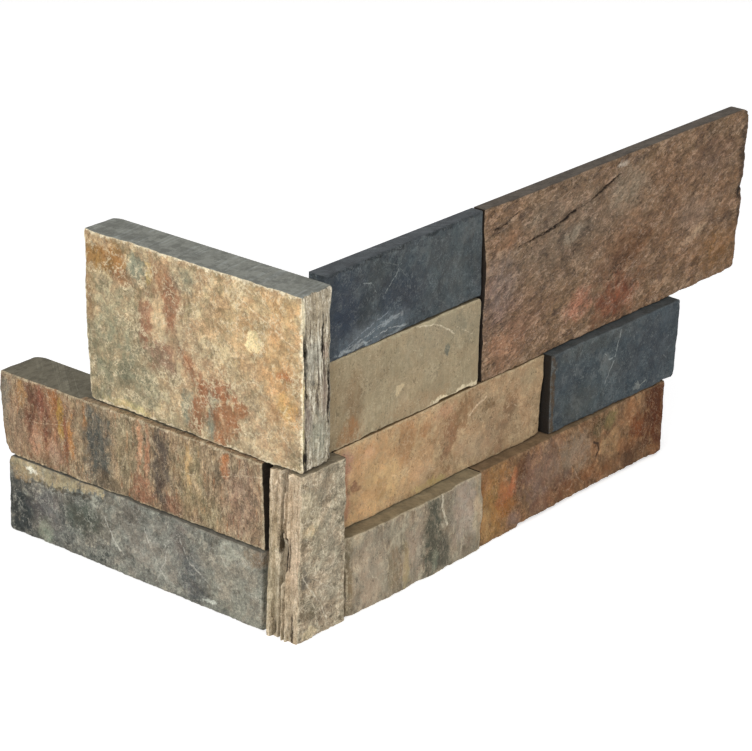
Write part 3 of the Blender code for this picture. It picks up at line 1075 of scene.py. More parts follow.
        ground = wiring.effect(
            trees[Effect.MOTTLE], Vector=woven, Scale=1.0 / finish.patch, Crisp=finish.crisp,
            Tinge=finish.tinge, Dark=self._lifted(finish.dark), Middle=self._lifted(finish.middle),
            Light=self._lifted(finish.light))
        grain = wiring.effect(trees[Effect.GRAIN], Vector=woven, Size=finish.grain_size)
        colour = self._face(place, ground, grain, woven)
        height = wiring.total((grain.outputs["Grain"], 1.0), (ground.outputs["Facets"], 0.3 * finish.crisp))
        arris = wiring.effect(trees[Effect.ARRIS], Vector=place, Off=off, Width=finish.arris_width)
        colour = self._over(colour, arris.outputs[0], finish.arris_strength, finish.arris)

        if finish.layered:
            layered = finish.layered
            layers = wiring.effect(
                trees[Effect.LAYERS], Vector=place, Dark=self._lifted(layered.dark),
                Middle=self._lifted(layered.middle), Light=self._lifted(layered.light))
            across = wiring.turned(place, ORIGIN, (0.0, 0.0, math.radians(90)), (1.0, 1.0, 1.0))
            fibrous = self._stained(across, layers.outputs["Color"], layered.stains, warp=1.5)
            broken = wiring.span(end, 0.35, 0.65)
            colour = wiring.mix(broken, colour, fibrous)
            height = wiring.total((height, 1.0), (wiring.math(
                "MULTIPLY", layers.outputs["Fibres"], broken), 1.6))

        # Painted shade: the hollows of the relief (flake steps, cracks and the broken-back layers of the
        # ends) darken with their depth; the dark pits of the grain take the same tone.
        shade = wiring.span(hollow, 0.3, 1.0, 0.0, finish.hollow)
        shade = wiring.math("MAXIMUM", shade, wiring.math("MULTIPLY", grain.outputs["Pits"], finish.pits))
        colour = wiring.mix(shade, colour, tone(SHADE))
        speckle = wiring.total(
            (grain.outputs["Grain"], 0.75), (ground.outputs["Facets"], 0.16 * finish.crisp),
            (1.0, 0.125 - 0.08 * finish.crisp))
        tint = wiring.span(speckle, 0.34, 0.66, 1.0 - finish.grain, 1.0 + finish.grain)
        colour = wiring.mix(1.0, colour, tint, "MULTIPLY")

        marks = wiring.effect(trees[Effect.SAW_MARKS], Vector=place,
                              Turn=(0.0, 0.0, finish.sawn.slant), Pitch=finish.sawn.pitch)
        flat = wiring.span(sawn, 0.4, 0.7)
        colour = wiring.mix(flat, colour, self._sawn(place, ground, marks))
        # Butted end faces take the dark joint colour: resin, and painted shade where they show in deep
        # joints.
        bonded = wiring.span(end, -0.6, -0.3, 0.95, 0.0)
        colour = wiring.mix(bonded, colour, tone(RESIN_AND_SHADE))

        wiring.feed(shader.inputs["Base Color"], colour)
        wiring.feed(shader.inputs["Roughness"], wiring.span(
            grain.outputs["Grain"], 0.25, 0.75, finish.roughness - 0.12, finish.roughness + 0.1))
        shader.inputs["Specular IOR Level"].default_value = SPECULAR
        rough = wiring.math("MULTIPLY", height, wiring.span(flat, 0.0, 1.0, 1.0, 0.2))
        rough = wiring.total((rough, 1.0), (wiring.math("MULTIPLY", marks.outputs[0], flat), 0.3))
        bump = wiring.node("ShaderNodeBump")
        bump.inputs["Strength"].default_value = finish.bump
        bump.inputs["Distance"].default_value = BUMP_DISTANCE * MM
        wiring.feed(bump.inputs["Height"], rough)
        wiring.feed(shader.inputs["Normal"], bump.outputs["Normal"])
        return self.material


@dataclass(frozen=True)
class SplitStone:
    """One stone as seen from outside: left and right ends, bed, top, split face and back.

    The lip is a place along it and a depth: from that place on, its top and its bed look like the
    split face down to that depth.
    """
    node: str
    leg: Leg
    left: float
    right: float
    bed: float
    top: float
    face: float
    back: float
    relief: Relief
    flaking: Flaking
    finish: SlateFinish
    left_end: StoneEnd = StoneEnd()
    right_end: StoneEnd = StoneEnd()
    fissures: tuple[Fissure, ...] = ()
    chips: tuple[Chip, ...] = ()
    lip: Place = (0.0, 0.0)
    grid: float = 0.5
    depth_grid: float = 0.9

    @property
    def size(self) -> Vector:
        """Length, depth and height of the sharp block."""
        return Vector((abs(self.right - self.left), self.back - self.face, self.top - self.bed))

    def origin(self, corner: Vector) -> Vector:
        """Gives the place of the block's lower left front corner.

        Args:
            corner: The outer corner of the part, in metres.

        Returns:
            The place in the frame of the part, in metres.
        """
        if self.leg is Leg.SHORT:
            return corner + Vector((self.face, self.left, self.bed)) * MM
        return corner + Vector((self.left, self.face, self.bed)) * MM

    def split_depth(self, along: float, up: float) -> float:
        """Gives the coarse relief of the split face.

        Args:
            along: Distance from the left end.
            up: Height above the bed.

        Returns:
            How far the face lies behind its proudest points.
        """
        relief = self.relief
        rightward = along / self.size.x
        fall = relief.fall * rightward if relief.fall > 0.0 else -relief.fall * (1.0 - rightward)
        place = Vector((along / (relief.swell * relief.stretch), up / relief.swell, relief.seed))
        swell = clamp(0.5 + RULES.swell_gain * noise.fractal(
            place, 1.0, RULES.swell_finer, RULES.swell_octaves))
        level = swell * relief.ledges
        ledge = (math.floor(level) + smooth(
            (level % 1.0 - 0.5) * RULES.ledge_sharpness + 0.5)) / relief.ledges
        return fall + relief.depth * (0.5 * swell + 0.5 * min(ledge, 1.0))

    def flake_depth(self, along: float, up: float) -> tuple[float, float]:
        """Gives the fine relief of the split face.

        Args:
            along: Distance from the left end.
            up: Height above the bed.

        Returns:
            Its depth, and how hollow the place looks, from 0 to 1.
        """
        flaking, seed = self.flaking, self.relief.seed
        turn = math.radians(flaking.tilt)
        run = along * math.cos(turn) + up * math.sin(turn)
        rise = up * math.cos(turn) - along * math.sin(turn)
        plate = PLATES.at(run / (flaking.size * flaking.stretch), rise / flaking.size, seed)
        level = min(max(plate + FINE.flake_level, 0.0), FINE.flake_top) * FINE.flake_steps
        broken = (math.floor(level) + smooth(
            (level % 1.0 - FINE.flake_snap) * FINE.flake_sharpness)) / FINE.flake_full
        grain = clamp(0.5 + FINE.grain_gain * GRAIN.at(
            run / (flaking.grain_size * flaking.stretch), rise / flaking.grain_size, seed))
        hollow = FINE.flake_hollow * broken + FINE.grain_hollow * grain
        return flaking.depth * broken + flaking.grain_depth * grain, hollow

    def fissure_depth(self, along: float, up: float) -> float:
        """Gives the depth of the cracks at a place on the face.

        Args:
            along: Distance from the left end.
            up: Height above the bed.

        Returns:
            How much deeper the face is there.
        """
        deepest = 0.0
        drift = FINE.crack_drift * noise.noise(
            Vector((along / FINE.crack_wave, up / FINE.crack_wave, self.relief.seed)))
        here = Vector((along, up + drift))
        for fissure in self.fissures:
            for start, end in zip(fissure.places, fissure.places[1:]):
                first, run = Vector(start), Vector(end) - Vector(start)
                passed = clamp((here - first).dot(run) / run.length_squared)
                off = (here - first - run * passed).length
                deepest = max(deepest, fissure.depth * clamp(1.0 - off / fissure.half_width))
        return deepest

    def layer_depth(self, end: StoneEnd, across: float, up: float) -> float:
        """Gives the relief of a broken, layered end.

        Args:
            end: The end.
            across: Depth behind the split face.
            up: Height above the bed.

        Returns:
            How far the end lies behind its outermost layer.
        """
        seed = self.relief.seed
        sway = noise.noise(Vector((up / FINE.sway_wave, 3.0, seed + 2.0)))
        passed, last = FINE.sway * sway, len(end.laminae) - 1
        for index, lamina in enumerate(end.laminae):
            passed += lamina.thickness
            if across <= passed or index == last:
                break
        fracture = 0.5 + 0.5 * noise.noise(
            Vector((index * RULES.layer_spacing, up / RULES.fracture_height, seed)))
        depth = lamina.broken_back * (RULES.fracture_least + RULES.fracture_spread * fracture)
        if lamina.gapes:
            opened = max(between(up, low, high, RULES.gape_taper) for low, high in lamina.gapes)
            depth = RULES.closed_gape + (depth - RULES.closed_gape) * opened
        swayed = across + FINE.fibre_sway * sway
        fibre, band = FIBRES.at(swayed, up, seed), BANDS.at(swayed, up, seed)
        depth += (FINE.fibre_depth * clamp(0.5 + FINE.fibre_gain * fibre)
                  + FINE.band_depth * max(0.0, band + FINE.band_level))
        for slit in end.slits:
            inside = between(up, slit.low, slit.high, FINE.slit_taper)
            drift = FINE.slit_drift * noise.noise(Vector((up / FINE.slit_wave, slit.across, seed)))
            off = abs(across + drift - slit.across) / slit.width
            depth += slit.depth * inside * (1.0 - smooth(off))
        return depth

    def end_inset(self, end: StoneEnd, across: float, up: float) -> tuple[float, float]:
        """Gives how far a point of an end is set in from the stone's full reach.

        Args:
            end: The end.
            across: Depth behind the split face.
            up: Height above the bed.

        Returns:
            The inset, and how hollow the place looks, from 0 to 1.
        """
        seed = self.relief.seed
        inset, hollow = outline_inset(end.outline, up), 0.0
        if end.ragged:
            place = Vector((across / RULES.ragged_depth, up / RULES.ragged_height,
                            seed + RULES.ragged_shift))
            inset += end.ragged * clamp(0.5 + RULES.ragged_gain * noise.fractal(place, 1.0, 2.0, 2))
            nibble = END_NIBBLES.at(across, up, seed)
            inset += FINE.nibble_depth * max(0.0, 0.5 + nibble)
            hollow = 0.5 + 0.5 * nibble
        if end.laminae:
            depth = self.layer_depth(end, across, up)
            inset += depth
            hollow = min(1.0, depth / FINE.layer_full)
        return inset, hollow

    def arris_radius(self, along: float, at_top: bool) -> float:
        """Gives the radius of the worn arris at a place along the bed or the top.

        Args:
            along: Distance from the left end.
            at_top: Whether it is the top's arris.

        Returns:
            The radius.
        """
        seed = self.relief.seed
        place = Vector((along / RULES.wear_length, RULES.top_shift * at_top, seed + RULES.wear_shift))
        grown = 1.0 + RULES.wear_growth * max(0.0, RULES.wear_share + noise.noise(place))
        nibble = ARRIS_NIBBLES.at(along, 7.0 * at_top, seed)
        return max(RULES.arris * grown * (FINE.arris_share + FINE.arris_gain * nibble), FINE.arris_least)

    def broken_out(self, along: float, height: float, depth: float) -> tuple[float, float]:
        """Moves a point in the corner of the face and the bed onto the facets of the chips.

        Args:
            along: Distance from the left end.
            height: Height above the bed.
            depth: Depth behind the split face.

        Returns:
            The height and the depth after the move.
        """
        for chip in self.chips:
            share = between(along, chip.start, chip.stop, FINE.chip_taper)
            share *= FINE.chip_share + FINE.chip_gain * CHIP_NIBBLES.at(along, 3.0, self.relief.seed)
            if share > FINE.chip_least:
                short = 1.0 - height / (chip.height * share) - depth / (chip.depth * share)
                height += max(0.0, short) * chip.height * share / 2.0
                depth += max(0.0, short) * chip.depth * share / 2.0
        return height, depth

    def wear(self, point: Vector) -> Vector:
        """Rounds and chips the arrises and corners of the sharp block.

        Args:
            point: A point of the sharp block.

        Returns:
            Where it lies on the worn block.
        """
        length, depth, height = self.size
        along, across, up = point
        for at_top in (False, True):
            inward = height - up if at_top else up
            if inward < EDGE_REACH and across < EDGE_REACH:
                inward, across = rounded(inward, across, self.arris_radius(along, at_top))
            up = height - inward if at_top else inward
        if up < EDGE_REACH and across < EDGE_REACH:
            up, across = self.broken_out(along, up, across)
        for end, at_right in ((self.left_end, False), (self.right_end, True)):
            inward = length - along if at_right else along
            inward, across = rounded(inward, across, end.front_radius)
            inward, behind = rounded(inward, depth - across, end.back_radius)
            across = depth - behind
            inward, upward = rounded(inward, height - up, end.top_radius)
            inward, up = rounded(inward, height - upward, end.bottom_radius)
            along = length - inward if at_right else inward
        return Vector((along, across, up))

    def split(self, point: Vector) -> tuple[Vector, float]:
        """Gives the face and the ends their natural broken relief.

        Args:
            point: A point of the worn block.

        Returns:
            Where it lies on the split stone, and how hollow the place looks, from 0 to 1.
        """
        length, depth, _ = self.size
        along, across, up = point
        fade = 1.0 - smooth((across - RULES.arris) / (depth - RULES.arris))
        placed, hollow = Vector(point), 0.0
        if fade > 0.0:
            fine, hollow = self.flake_depth(along, up)
            front = 1.0 - smooth(across / FINE.front_reach)
            crack = self.fissure_depth(along, up) if self.fissures else 0.0
            hollow = max(hollow, FINE.crack_hollow * crack) * front
            placed.y += fade * (self.split_depth(along, up) + crack) + front * fine
        for end, near, sign in ((self.left_end, along, 1.0), (self.right_end, length - along, -1.0)):
            share = 1.0 - near / RULES.end_zone
            if share > 0.0:
                inset, end_hollow = self.end_inset(end, across, up)
                placed.x += sign * share * inset
                if near < FINE.skin:
                    hollow = max(hollow, end_hollow)
        return placed, hollow

    def marks(self, sharp: Vector, hollow: float) -> tuple[Vector, float]:
        """Tells the material what surface a point of the sharp block lies on.

        Args:
            sharp: The point.
            hollow: How hollow the place looks, from 0 to 1.

        Returns:
            The hollow, 1 on a sawn bed or back, and 1 on a layered end or -1 on a bonded one, and
            the distance from the nearest front arris.
        """
        length, depth, height = self.size
        along, across, up = sharp
        off = math.hypot(min(along, length - along, up, height - up), across)
        if depth - across < TOUCH:
            return Vector((0.0, 1.0, 0.0)), off
        end, sawn = 0.0, 0.0
        for side, near in ((self.left_end, along), (self.right_end, length - along)):
            if near < TOUCH < across:
                end = 1.0 if side.laminae else -float(side.butted)
        if end == 0.0 and across > TOUCH:
            on_lip = along > self.lip[0] and across < self.lip[1]
            sawn = float(min(up, height - up) < TOUCH and not on_lip)
        return Vector((hollow, sawn, end)), off

    def block(self) -> bmesh.types.BMesh:
        """Makes the sharp block with a fine grid on its face and rings down its sides.

        Returns:
            The block, from the origin to its size.
        """
        length, depth, height = self.size
        bm = bmesh.new()
        bmesh.ops.create_grid(bm, x_segments=math.ceil(length / self.grid),
                              y_segments=math.ceil(height / self.grid), size=0.5)
        bmesh.ops.translate(bm, vec=(0.5, 0.5, 0.0), verts=bm.verts)
        bmesh.ops.scale(bm, vec=(length, height, 1.0), verts=bm.verts)
        bmesh.ops.rotate(bm, cent=ORIGIN, matrix=Matrix.Rotation(math.radians(90), 3, "X"),
                         verts=bm.verts)
        rings = math.ceil(depth / self.depth_grid)
        rim = [edge for edge in bm.edges if edge.is_boundary]
        for _ in range(rings):
            made = bmesh.ops.extrude_edge_only(bm, edges=rim)["geom"]
            verts = [part for part in made if isinstance(part, bmesh.types.BMVert)]
            bmesh.ops.translate(bm, vec=(0.0, depth / rings, 0.0), verts=verts)
            rim = [part for part in made if isinstance(part, bmesh.types.BMEdge) and part.is_boundary]
        bmesh.ops.contextual_create(bm, geom=rim)
        return bm

    def build(self, corner: Vector, effects: SlateEffects) -> bpy.types.Object:
        """Models and dresses the stone in place of its CAD node.

        Args:
            corner: The outer corner of the part.
            effects: The shared effects.

        Returns:
            The finished piece.
        """
        bm = self.block()
        marks = bm.verts.layers.float_vector.new(MARKS)
        off_rim = bm.verts.layers.float.new(OFF_RIM)
        for vert in bm.verts:
            placed, hollow = self.split(self.wear(vert.co))
            vert[marks], vert[off_rim] = self.marks(vert.co, hollow)
            vert.co = placed * MM
        bmesh.ops.rotate(bm, cent=ORIGIN, matrix=Matrix.Rotation(self.leg.turn, 3, "Z"),
                         verts=bm.verts)
        bmesh.ops.translate(bm, vec=self.origin(corner), verts=bm.verts)
        bmesh.ops.recalc_face_normals(bm, faces=bm.faces)
        mesh = bpy.data.meshes.new(f"{self.node}_split")
        bm.to_mesh(mesh)
        bm.free()
        mesh.shade_smooth()
        mesh.set_sharp_from_angle(angle=math.radians(SHARP_ANGLE))
        mesh.materials.append(SlateMaterial(self.node, self.finish, effects).build(self, corner))
        piece = bpy.data.objects.new(f"{self.node}_split", mesh)
        bpy.context.scene.collection.objects.link(piece)
        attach(piece, "root")
        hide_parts(self.node)
        LOG.info("%s: %d faces", piece.name, len(mesh.polygons))
        return piece


def rounded(first: float, second: float, radius: float) -> tuple[float, float]:
    """Moves a point in the square corner of two surfaces onto a quarter circle.

    Args:
        first: Distance from one surface.
        second: Distance from the other.
        radius: Radius of the quarter circle.

    Returns:
        The two distances after the move.
    """
    if first >= radius or second >= radius:
        return first, second
    across, along = radius - first, radius - second
    share = max(across, along) / math.hypot(across, along)
    return radius - across * share, radius - along * share


def outline_inset(outline: tuple[Place, ...], up: float) -> float:
    """Gives how far in an end's outline lies at a height.

    Args:
        outline: Pairs of height and inset, from the bed upwards.
        up: The height.

    Returns:
        The inset, straight between the outline's places.
    """
    (low, inset), *places = outline
    for high, next_inset in places:
        if up < high:
            return inset + (next_inset - inset) * clamp((up - low) / (high - low))
        low, inset = high, next_inset
    return inset


@dataclass(frozen=True)
class Courses:
    """Heights, joints and backs that all the sub-assemblies share."""
    panel_height: float = 152.4
    interlock: float = 74.0
    joint: float = 0.4
    open_joint: float = 1.3
    long_back: float = 15.0
    short_back: float = 19.2
    block_back: float = 19.4
    block_width: float = 26.8

    @property
    def upper_bed(self) -> float:
        """Height of the bed of the upper courses."""
        return self.interlock + self.joint


COURSES = Courses()
BONDED = StoneEnd(butted=True)


@dataclass(frozen=True)
class CornerStones:
    """The slab and the block that run through to the corner, each with a layered end."""
    slab_reach: float = 123.2
    slab_end: float = 1.0
    slab_drop: float = 2.5
    slab_face: float = -0.4
    block_end: float = -5.0
    block_face: float = -0.4
    fine_depth: float = 0.36

    slab_laminae: tuple[Lamina, ...] = (
        Lamina(1.8, 0.0), Lamina(1.2, 2.8, gapes=((-6, 9), (42, 58))), Lamina(4.3, 0.8),
        Lamina(2.6, 1.4), Lamina(3.0, 0.4), Lamina(1.1, 2.8, gapes=((48, 64),)),
        Lamina(3.2, 1.0), Lamina(2.4, 1.8),
    )
    block_laminae: tuple[Lamina, ...] = (
        Lamina(3.8, 1.9), Lamina(2.0, 2.3), Lamina(0.9, 4.2, gapes=((30, 47),)), Lamina(1.3, 2.6),
        Lamina(1.0, 5.8, gapes=((24, 46), (64, 80))), Lamina(2.3, 3.8), Lamina(3.2, 2.0),
        Lamina(2.2, 0.3), Lamina(3.1, 6.4),
    )
    slab_slits: tuple[Slit, ...] = (
        Slit(3.5, 15, 37, 0.5, 1.2), Slit(1.6, 42, 57, 1.0, 1.6), Slit(18.6, 18, 36, 0.6, 1.8),
        Slit(8.4, 62, 76, 0.5, 1.0), Slit(10.6, 2, 20, 0.5, 1.0), Slit(5.6, 8, 26, 0.4, 0.9),
    )
    block_slits: tuple[Slit, ...] = (
        Slit(11.8, 39, 48, 0.7, 1.8), Slit(10.2, 66, 76, 0.7, 1.6), Slit(4.2, 1, 12, 0.6, 1.8),
        Slit(14.2, 58, 68, 0.5, 1.2), Slit(13.4, 0, 8, 0.6, 1.4), Slit(2.4, 48, 62, 0.4, 0.8),
    )

    slab_finish: SlateFinish = SlateFinish(
        dark="9c8b6c", middle="b49c7c", light="ccb692", patch=12.0, tinge=0.8, crisp=1.3,
        sawn=Sawn("82837b", "a8aca8", pitch=1.6, slant=0.14, contrast=0.4),
        veining=Veining("dccba8", 4.2, 0.05, 0.75),
        arris="eadcbc", arris_strength=1.0, arris_width=2.2, grain=0.24, flecks=0.4,
        fleck_colour="e4d4b6", pits=0.3, hollow=0.3, roughness=0.82, bump=0.7,
        streaking=(
            Streaking("d0b488", 2.2, 7.0, 0.3, 0.5, tilt=-8.0),
            Streaking("8e785e", 1.8, 6.0, 0.3, 0.45, tilt=-6.0, seed=31.0),
        ),
        stains=stain_rows(
            (16, 22, 32, 27, "88866e", 0.8, 0.8), (54, 32, 16, 14, "ba9c7e", 0.4, 0.8),
            (100, 56, 26, 19, "caa87a", 0.55, 0.9), (98, 14, 24, 14, "c4a888", 0.45, 0.9),
            (9, 65, 13, 6, "a0743e", 0.85), (19, 65, 6, 8, "9a7448", 0.8, 0.4),
            (4, 50, 3, 14, "a07a52", 0.5, 0.6), (23, 59, 6, 3.5, "946e50", 0.75, 0.4),
            (30, 65, 4.6, 6, "8c8c78", 0.85, 0.35), (37.5, 64, 2.2, 4.5, "e2c488", 0.9, 0.2),
            (46, 61, 8, 9, "9e7658", 0.8, 0.4), (51, 54, 5.5, 11, "986c52", 0.85, 0.35, -8),
            (58, 66, 6, 4.4, "888874", 0.75, 0.5), (36, 43, 4.2, 11, "986e56", 0.85, 0.35),
            (43.5, 46, 4, 11, "d4ba94", 0.8, 0.3), (45, 30, 7.5, 7, "98725e", 0.7, 0.4, -30),
            (64, 26, 14, 3.6, "986e52", 0.8, 0.35, -50), (60, 12, 4.6, 8, "8a8b78", 0.9, 0.3),
            (73.5, 20, 3.6, 4.6, "8c8c7a", 0.9, 0.3), (73, 9, 3.2, 7, "8e8d7a", 0.9, 0.3),
            (66, 13, 4.6, 11, "986a4c", 0.9, 0.3, -20), (78, 24, 7.5, 4.0, "986a4e", 0.9, 0.3),
            (81, 11, 7.0, 10.5, "9a6c4c", 0.9, 0.35), (88.5, 18, 4.6, 4.4, "946848", 0.85, 0.3, 30),
            (56, 42, 3, 8, "98947c", 0.45, 0.5), (95.5, 50, 4.2, 4.2, "f0dcac", 1.0, 0.2),
            (110, 38, 9, 22, "cca070", 0.7, 0.7), (112, 40, 4.4, 1.6, "b87e54", 0.8, 0.25),
            (114, 27, 5, 6, "cca468", 0.6, 0.4), (112, 68, 8, 5, "c69e6e", 0.6, 0.6),
            (30, 12, 12, 7, "847e68", 0.45, 0.6), (27, 2.0, 12, 2.4, "d6c48e", 0.6, 0.4),
        ),
        traces=trace_rows(
            (((87, 68), (98, 62), (110, 57), (121, 52)), 0.5, "e8d4b0", 0.7, 0.42),
            (((96, 72), (104, 66), (112, 60)), 0.4, "e4d0ac", 0.6),
            (((106, 19), (112, 12), (119, 6)), 0.5, "deccac", 0.65),
            (((112, 18), (114, 9), (113, 3)), 0.4, "deccac", 0.55),
            (((55, 37), (63, 28), (73, 15)), 0.7, "8c5636", 0.6, 0.45),
            (((2, 37), (14, 41), (26, 40)), 0.4, "cebe9c", 0.6),
        ),
        layered=Layered("4e4436", "a89c86", "e2dac6", stains=stain_rows(
            (10, 68, 9, 9, "ac9e86", 0.4, 0.8), (8, 47, 5, 9, "b4b2a4", 0.6, 0.6),
            (16, 49, 3, 3, "bea692", 0.6, 0.4), (0.8, 33, 1.6, 10, "e0cc9c", 0.95, 0.4),
            # Painted shade in the gaping layers and slits: the near-black marks at (2.6, 50), (13.6, 56),
            # (3.4, 25), (18.4, 29) and (3.0, 6).
            (1.0, 68, 1.8, 9, "dcd0ae", 0.8, 0.4), (2.6, 50, 2.2, 9, "1e1a10", 1.0, 0.5),
            (13.6, 56, 1.1, 9, "221c16", 1.0, 0.3), (3.4, 25, 0.6, 20, "3c3226", 0.95, 0.4),
            (10.8, 34, 0.45, 14, "4a3e32", 0.9, 0.4), (15.2, 36, 0.5, 14, "4e4236", 0.9, 0.4),
            (18.4, 29, 1.2, 12, "221c14", 1.0, 0.4), (5.4, 22, 2.6, 9, "8c7e76", 0.6, 0.5),
            (12, 13, 5, 10, "989a8a", 0.55, 0.7), (1.0, 13, 2.0, 12, "beae76", 0.7, 0.4),
            (3.0, 6, 1.8, 8, "1e1810", 1.0, 0.5), (15, 30, 3, 8, "a89686", 0.45, 0.6),
        )))

    block_finish: SlateFinish = SlateFinish(
        dark="7c715c", middle="a0937c", light="beb198", patch=6.0, lift=(1.06, 1.05, 1.07),
        sawn=Sawn("766c58", "968c76"),
        veining=Veining("cec2a8", 3.2, 0.05, 0.75),
        arris="d0c2a4", arris_strength=0.5, grain=0.28, flecks=0.3,
        fleck_colour="d6ccb4", pits=0.35, hollow=0.4, roughness=0.82, bump=0.75,
        streaking=(Streaking("706654", 1.6, 4.0, 0.25, 0.45, tilt=-35.0),),
        stains=stain_rows(
            (8, 60, 8, 11, "c0ac8c", 0.5, 0.6), (18, 66, 9, 7, "8e8470", 0.55, 0.5),
            (12, 42, 9, 5, "867a64", 0.6, 0.4), (22, 38, 6, 12, "988e7a", 0.45, 0.6),
            (7, 27, 3, 4, "686358", 0.85, 0.3), (9, 12, 5, 4, "6e6450", 0.75, 0.3),
            (20, 8, 5, 3.4, "726858", 0.6, 0.35), (9, 3, 5, 2.6, "cebc98", 0.7, 0.3),
            (19, 21, 7, 8, "b2a690", 0.45, 0.6), (10, 48, 5, 2.4, "ccb890", 0.5, 0.4),
        ),
        traces=trace_rows(
            (((5, 31), (9, 24), (16, 14), (20, 6)), 0.7, "d2c8b0", 0.75, 0.42),
            (((13, 26), (19, 21), (26, 17)), 0.6, "cec4ac", 0.65),
            (((9, 20), (14, 10), (15, 2)), 0.6, "ccc2a8", 0.65),
        ),
        layered=Layered("64543c", "b9a78a", "dfd1b5", stains=stain_rows(
            (6, 62, 9, 14, "ceb89a", 0.6, 0.8), (14, 20, 6, 20, "a89e82", 0.6, 0.8),
            (4, 34, 5, 12, "d6bea0", 0.6, 0.7), (7, 12, 5, 6, "d2c0a2", 0.6, 0.6),
            # Painted shade in the gaping layers, the slits and the deep groove of the last layer: the dark
            # marks at (8.3, 35), (6.3, 38), (11.8, 43), (10.2, 71), (4.2, 7), (14.5, 3) and (18.4, 54).
            (15, 50, 4, 10, "a49476", 0.5, 0.7), (8.3, 35, 0.7, 10, "241a10", 1.0, 0.3),
            (6.3, 38, 0.4, 7, "3a2c1c", 0.9, 0.4), (11.8, 43, 0.7, 5, "3e3222", 0.95, 0.3),
            (10.2, 71, 0.5, 5, "4c3c2a", 0.85, 0.4), (4.2, 7, 0.9, 6, "3a2e1e", 0.95, 0.3),
            (14.5, 3, 0.8, 4, "564a34", 0.7, 0.3), (18.4, 54, 1.4, 24, "1e1812", 0.9, 0.3),
        )))

    def stones(self) -> list[SplitStone]:
        """Gives the slab and the block.

        Returns:
            The two stones.
        """
        slab = SplitStone(
            "corner_slab", Leg.SHORT, left=self.slab_reach, right=self.slab_end,
            bed=COURSES.upper_bed, top=COURSES.panel_height - self.slab_drop,
            face=self.slab_face, back=COURSES.short_back,
            relief=Relief(1.4, 26, 0.8, 3, 11.0),
            flaking=Flaking(7, 0.45, 1.9, 0.3, stretch=0.8, tilt=10.0),
            finish=self.slab_finish,
            left_end=StoneEnd(top_radius=1.6, bottom_radius=4.5, front_radius=1.6, back_radius=5.5,
                              outline=((0.0, 1.2), (60, 0.0)), ragged=0.4),
            right_end=StoneEnd(top_radius=1.6, bottom_radius=1.6, laminae=self.slab_laminae,
                               slits=self.slab_slits),
            depth_grid=self.fine_depth)
        block = SplitStone(
            "corner_block", Leg.LONG, left=self.block_end, right=COURSES.block_width,
            bed=0.0, top=COURSES.interlock, face=self.block_face, back=COURSES.block_back,
            relief=Relief(1.2, 16, 1.0, 3, 23.0),
            flaking=Flaking(5.5, 0.35, 1.6, 0.26),
            finish=self.block_finish,
            left_end=StoneEnd(outline=((0.0, 0.0), (74, 2.6)), laminae=self.block_laminae,
                              slits=self.block_slits),
            right_end=StoneEnd(butted=True, ragged=0.4),
            depth_grid=self.fine_depth)
        return [slab, block]


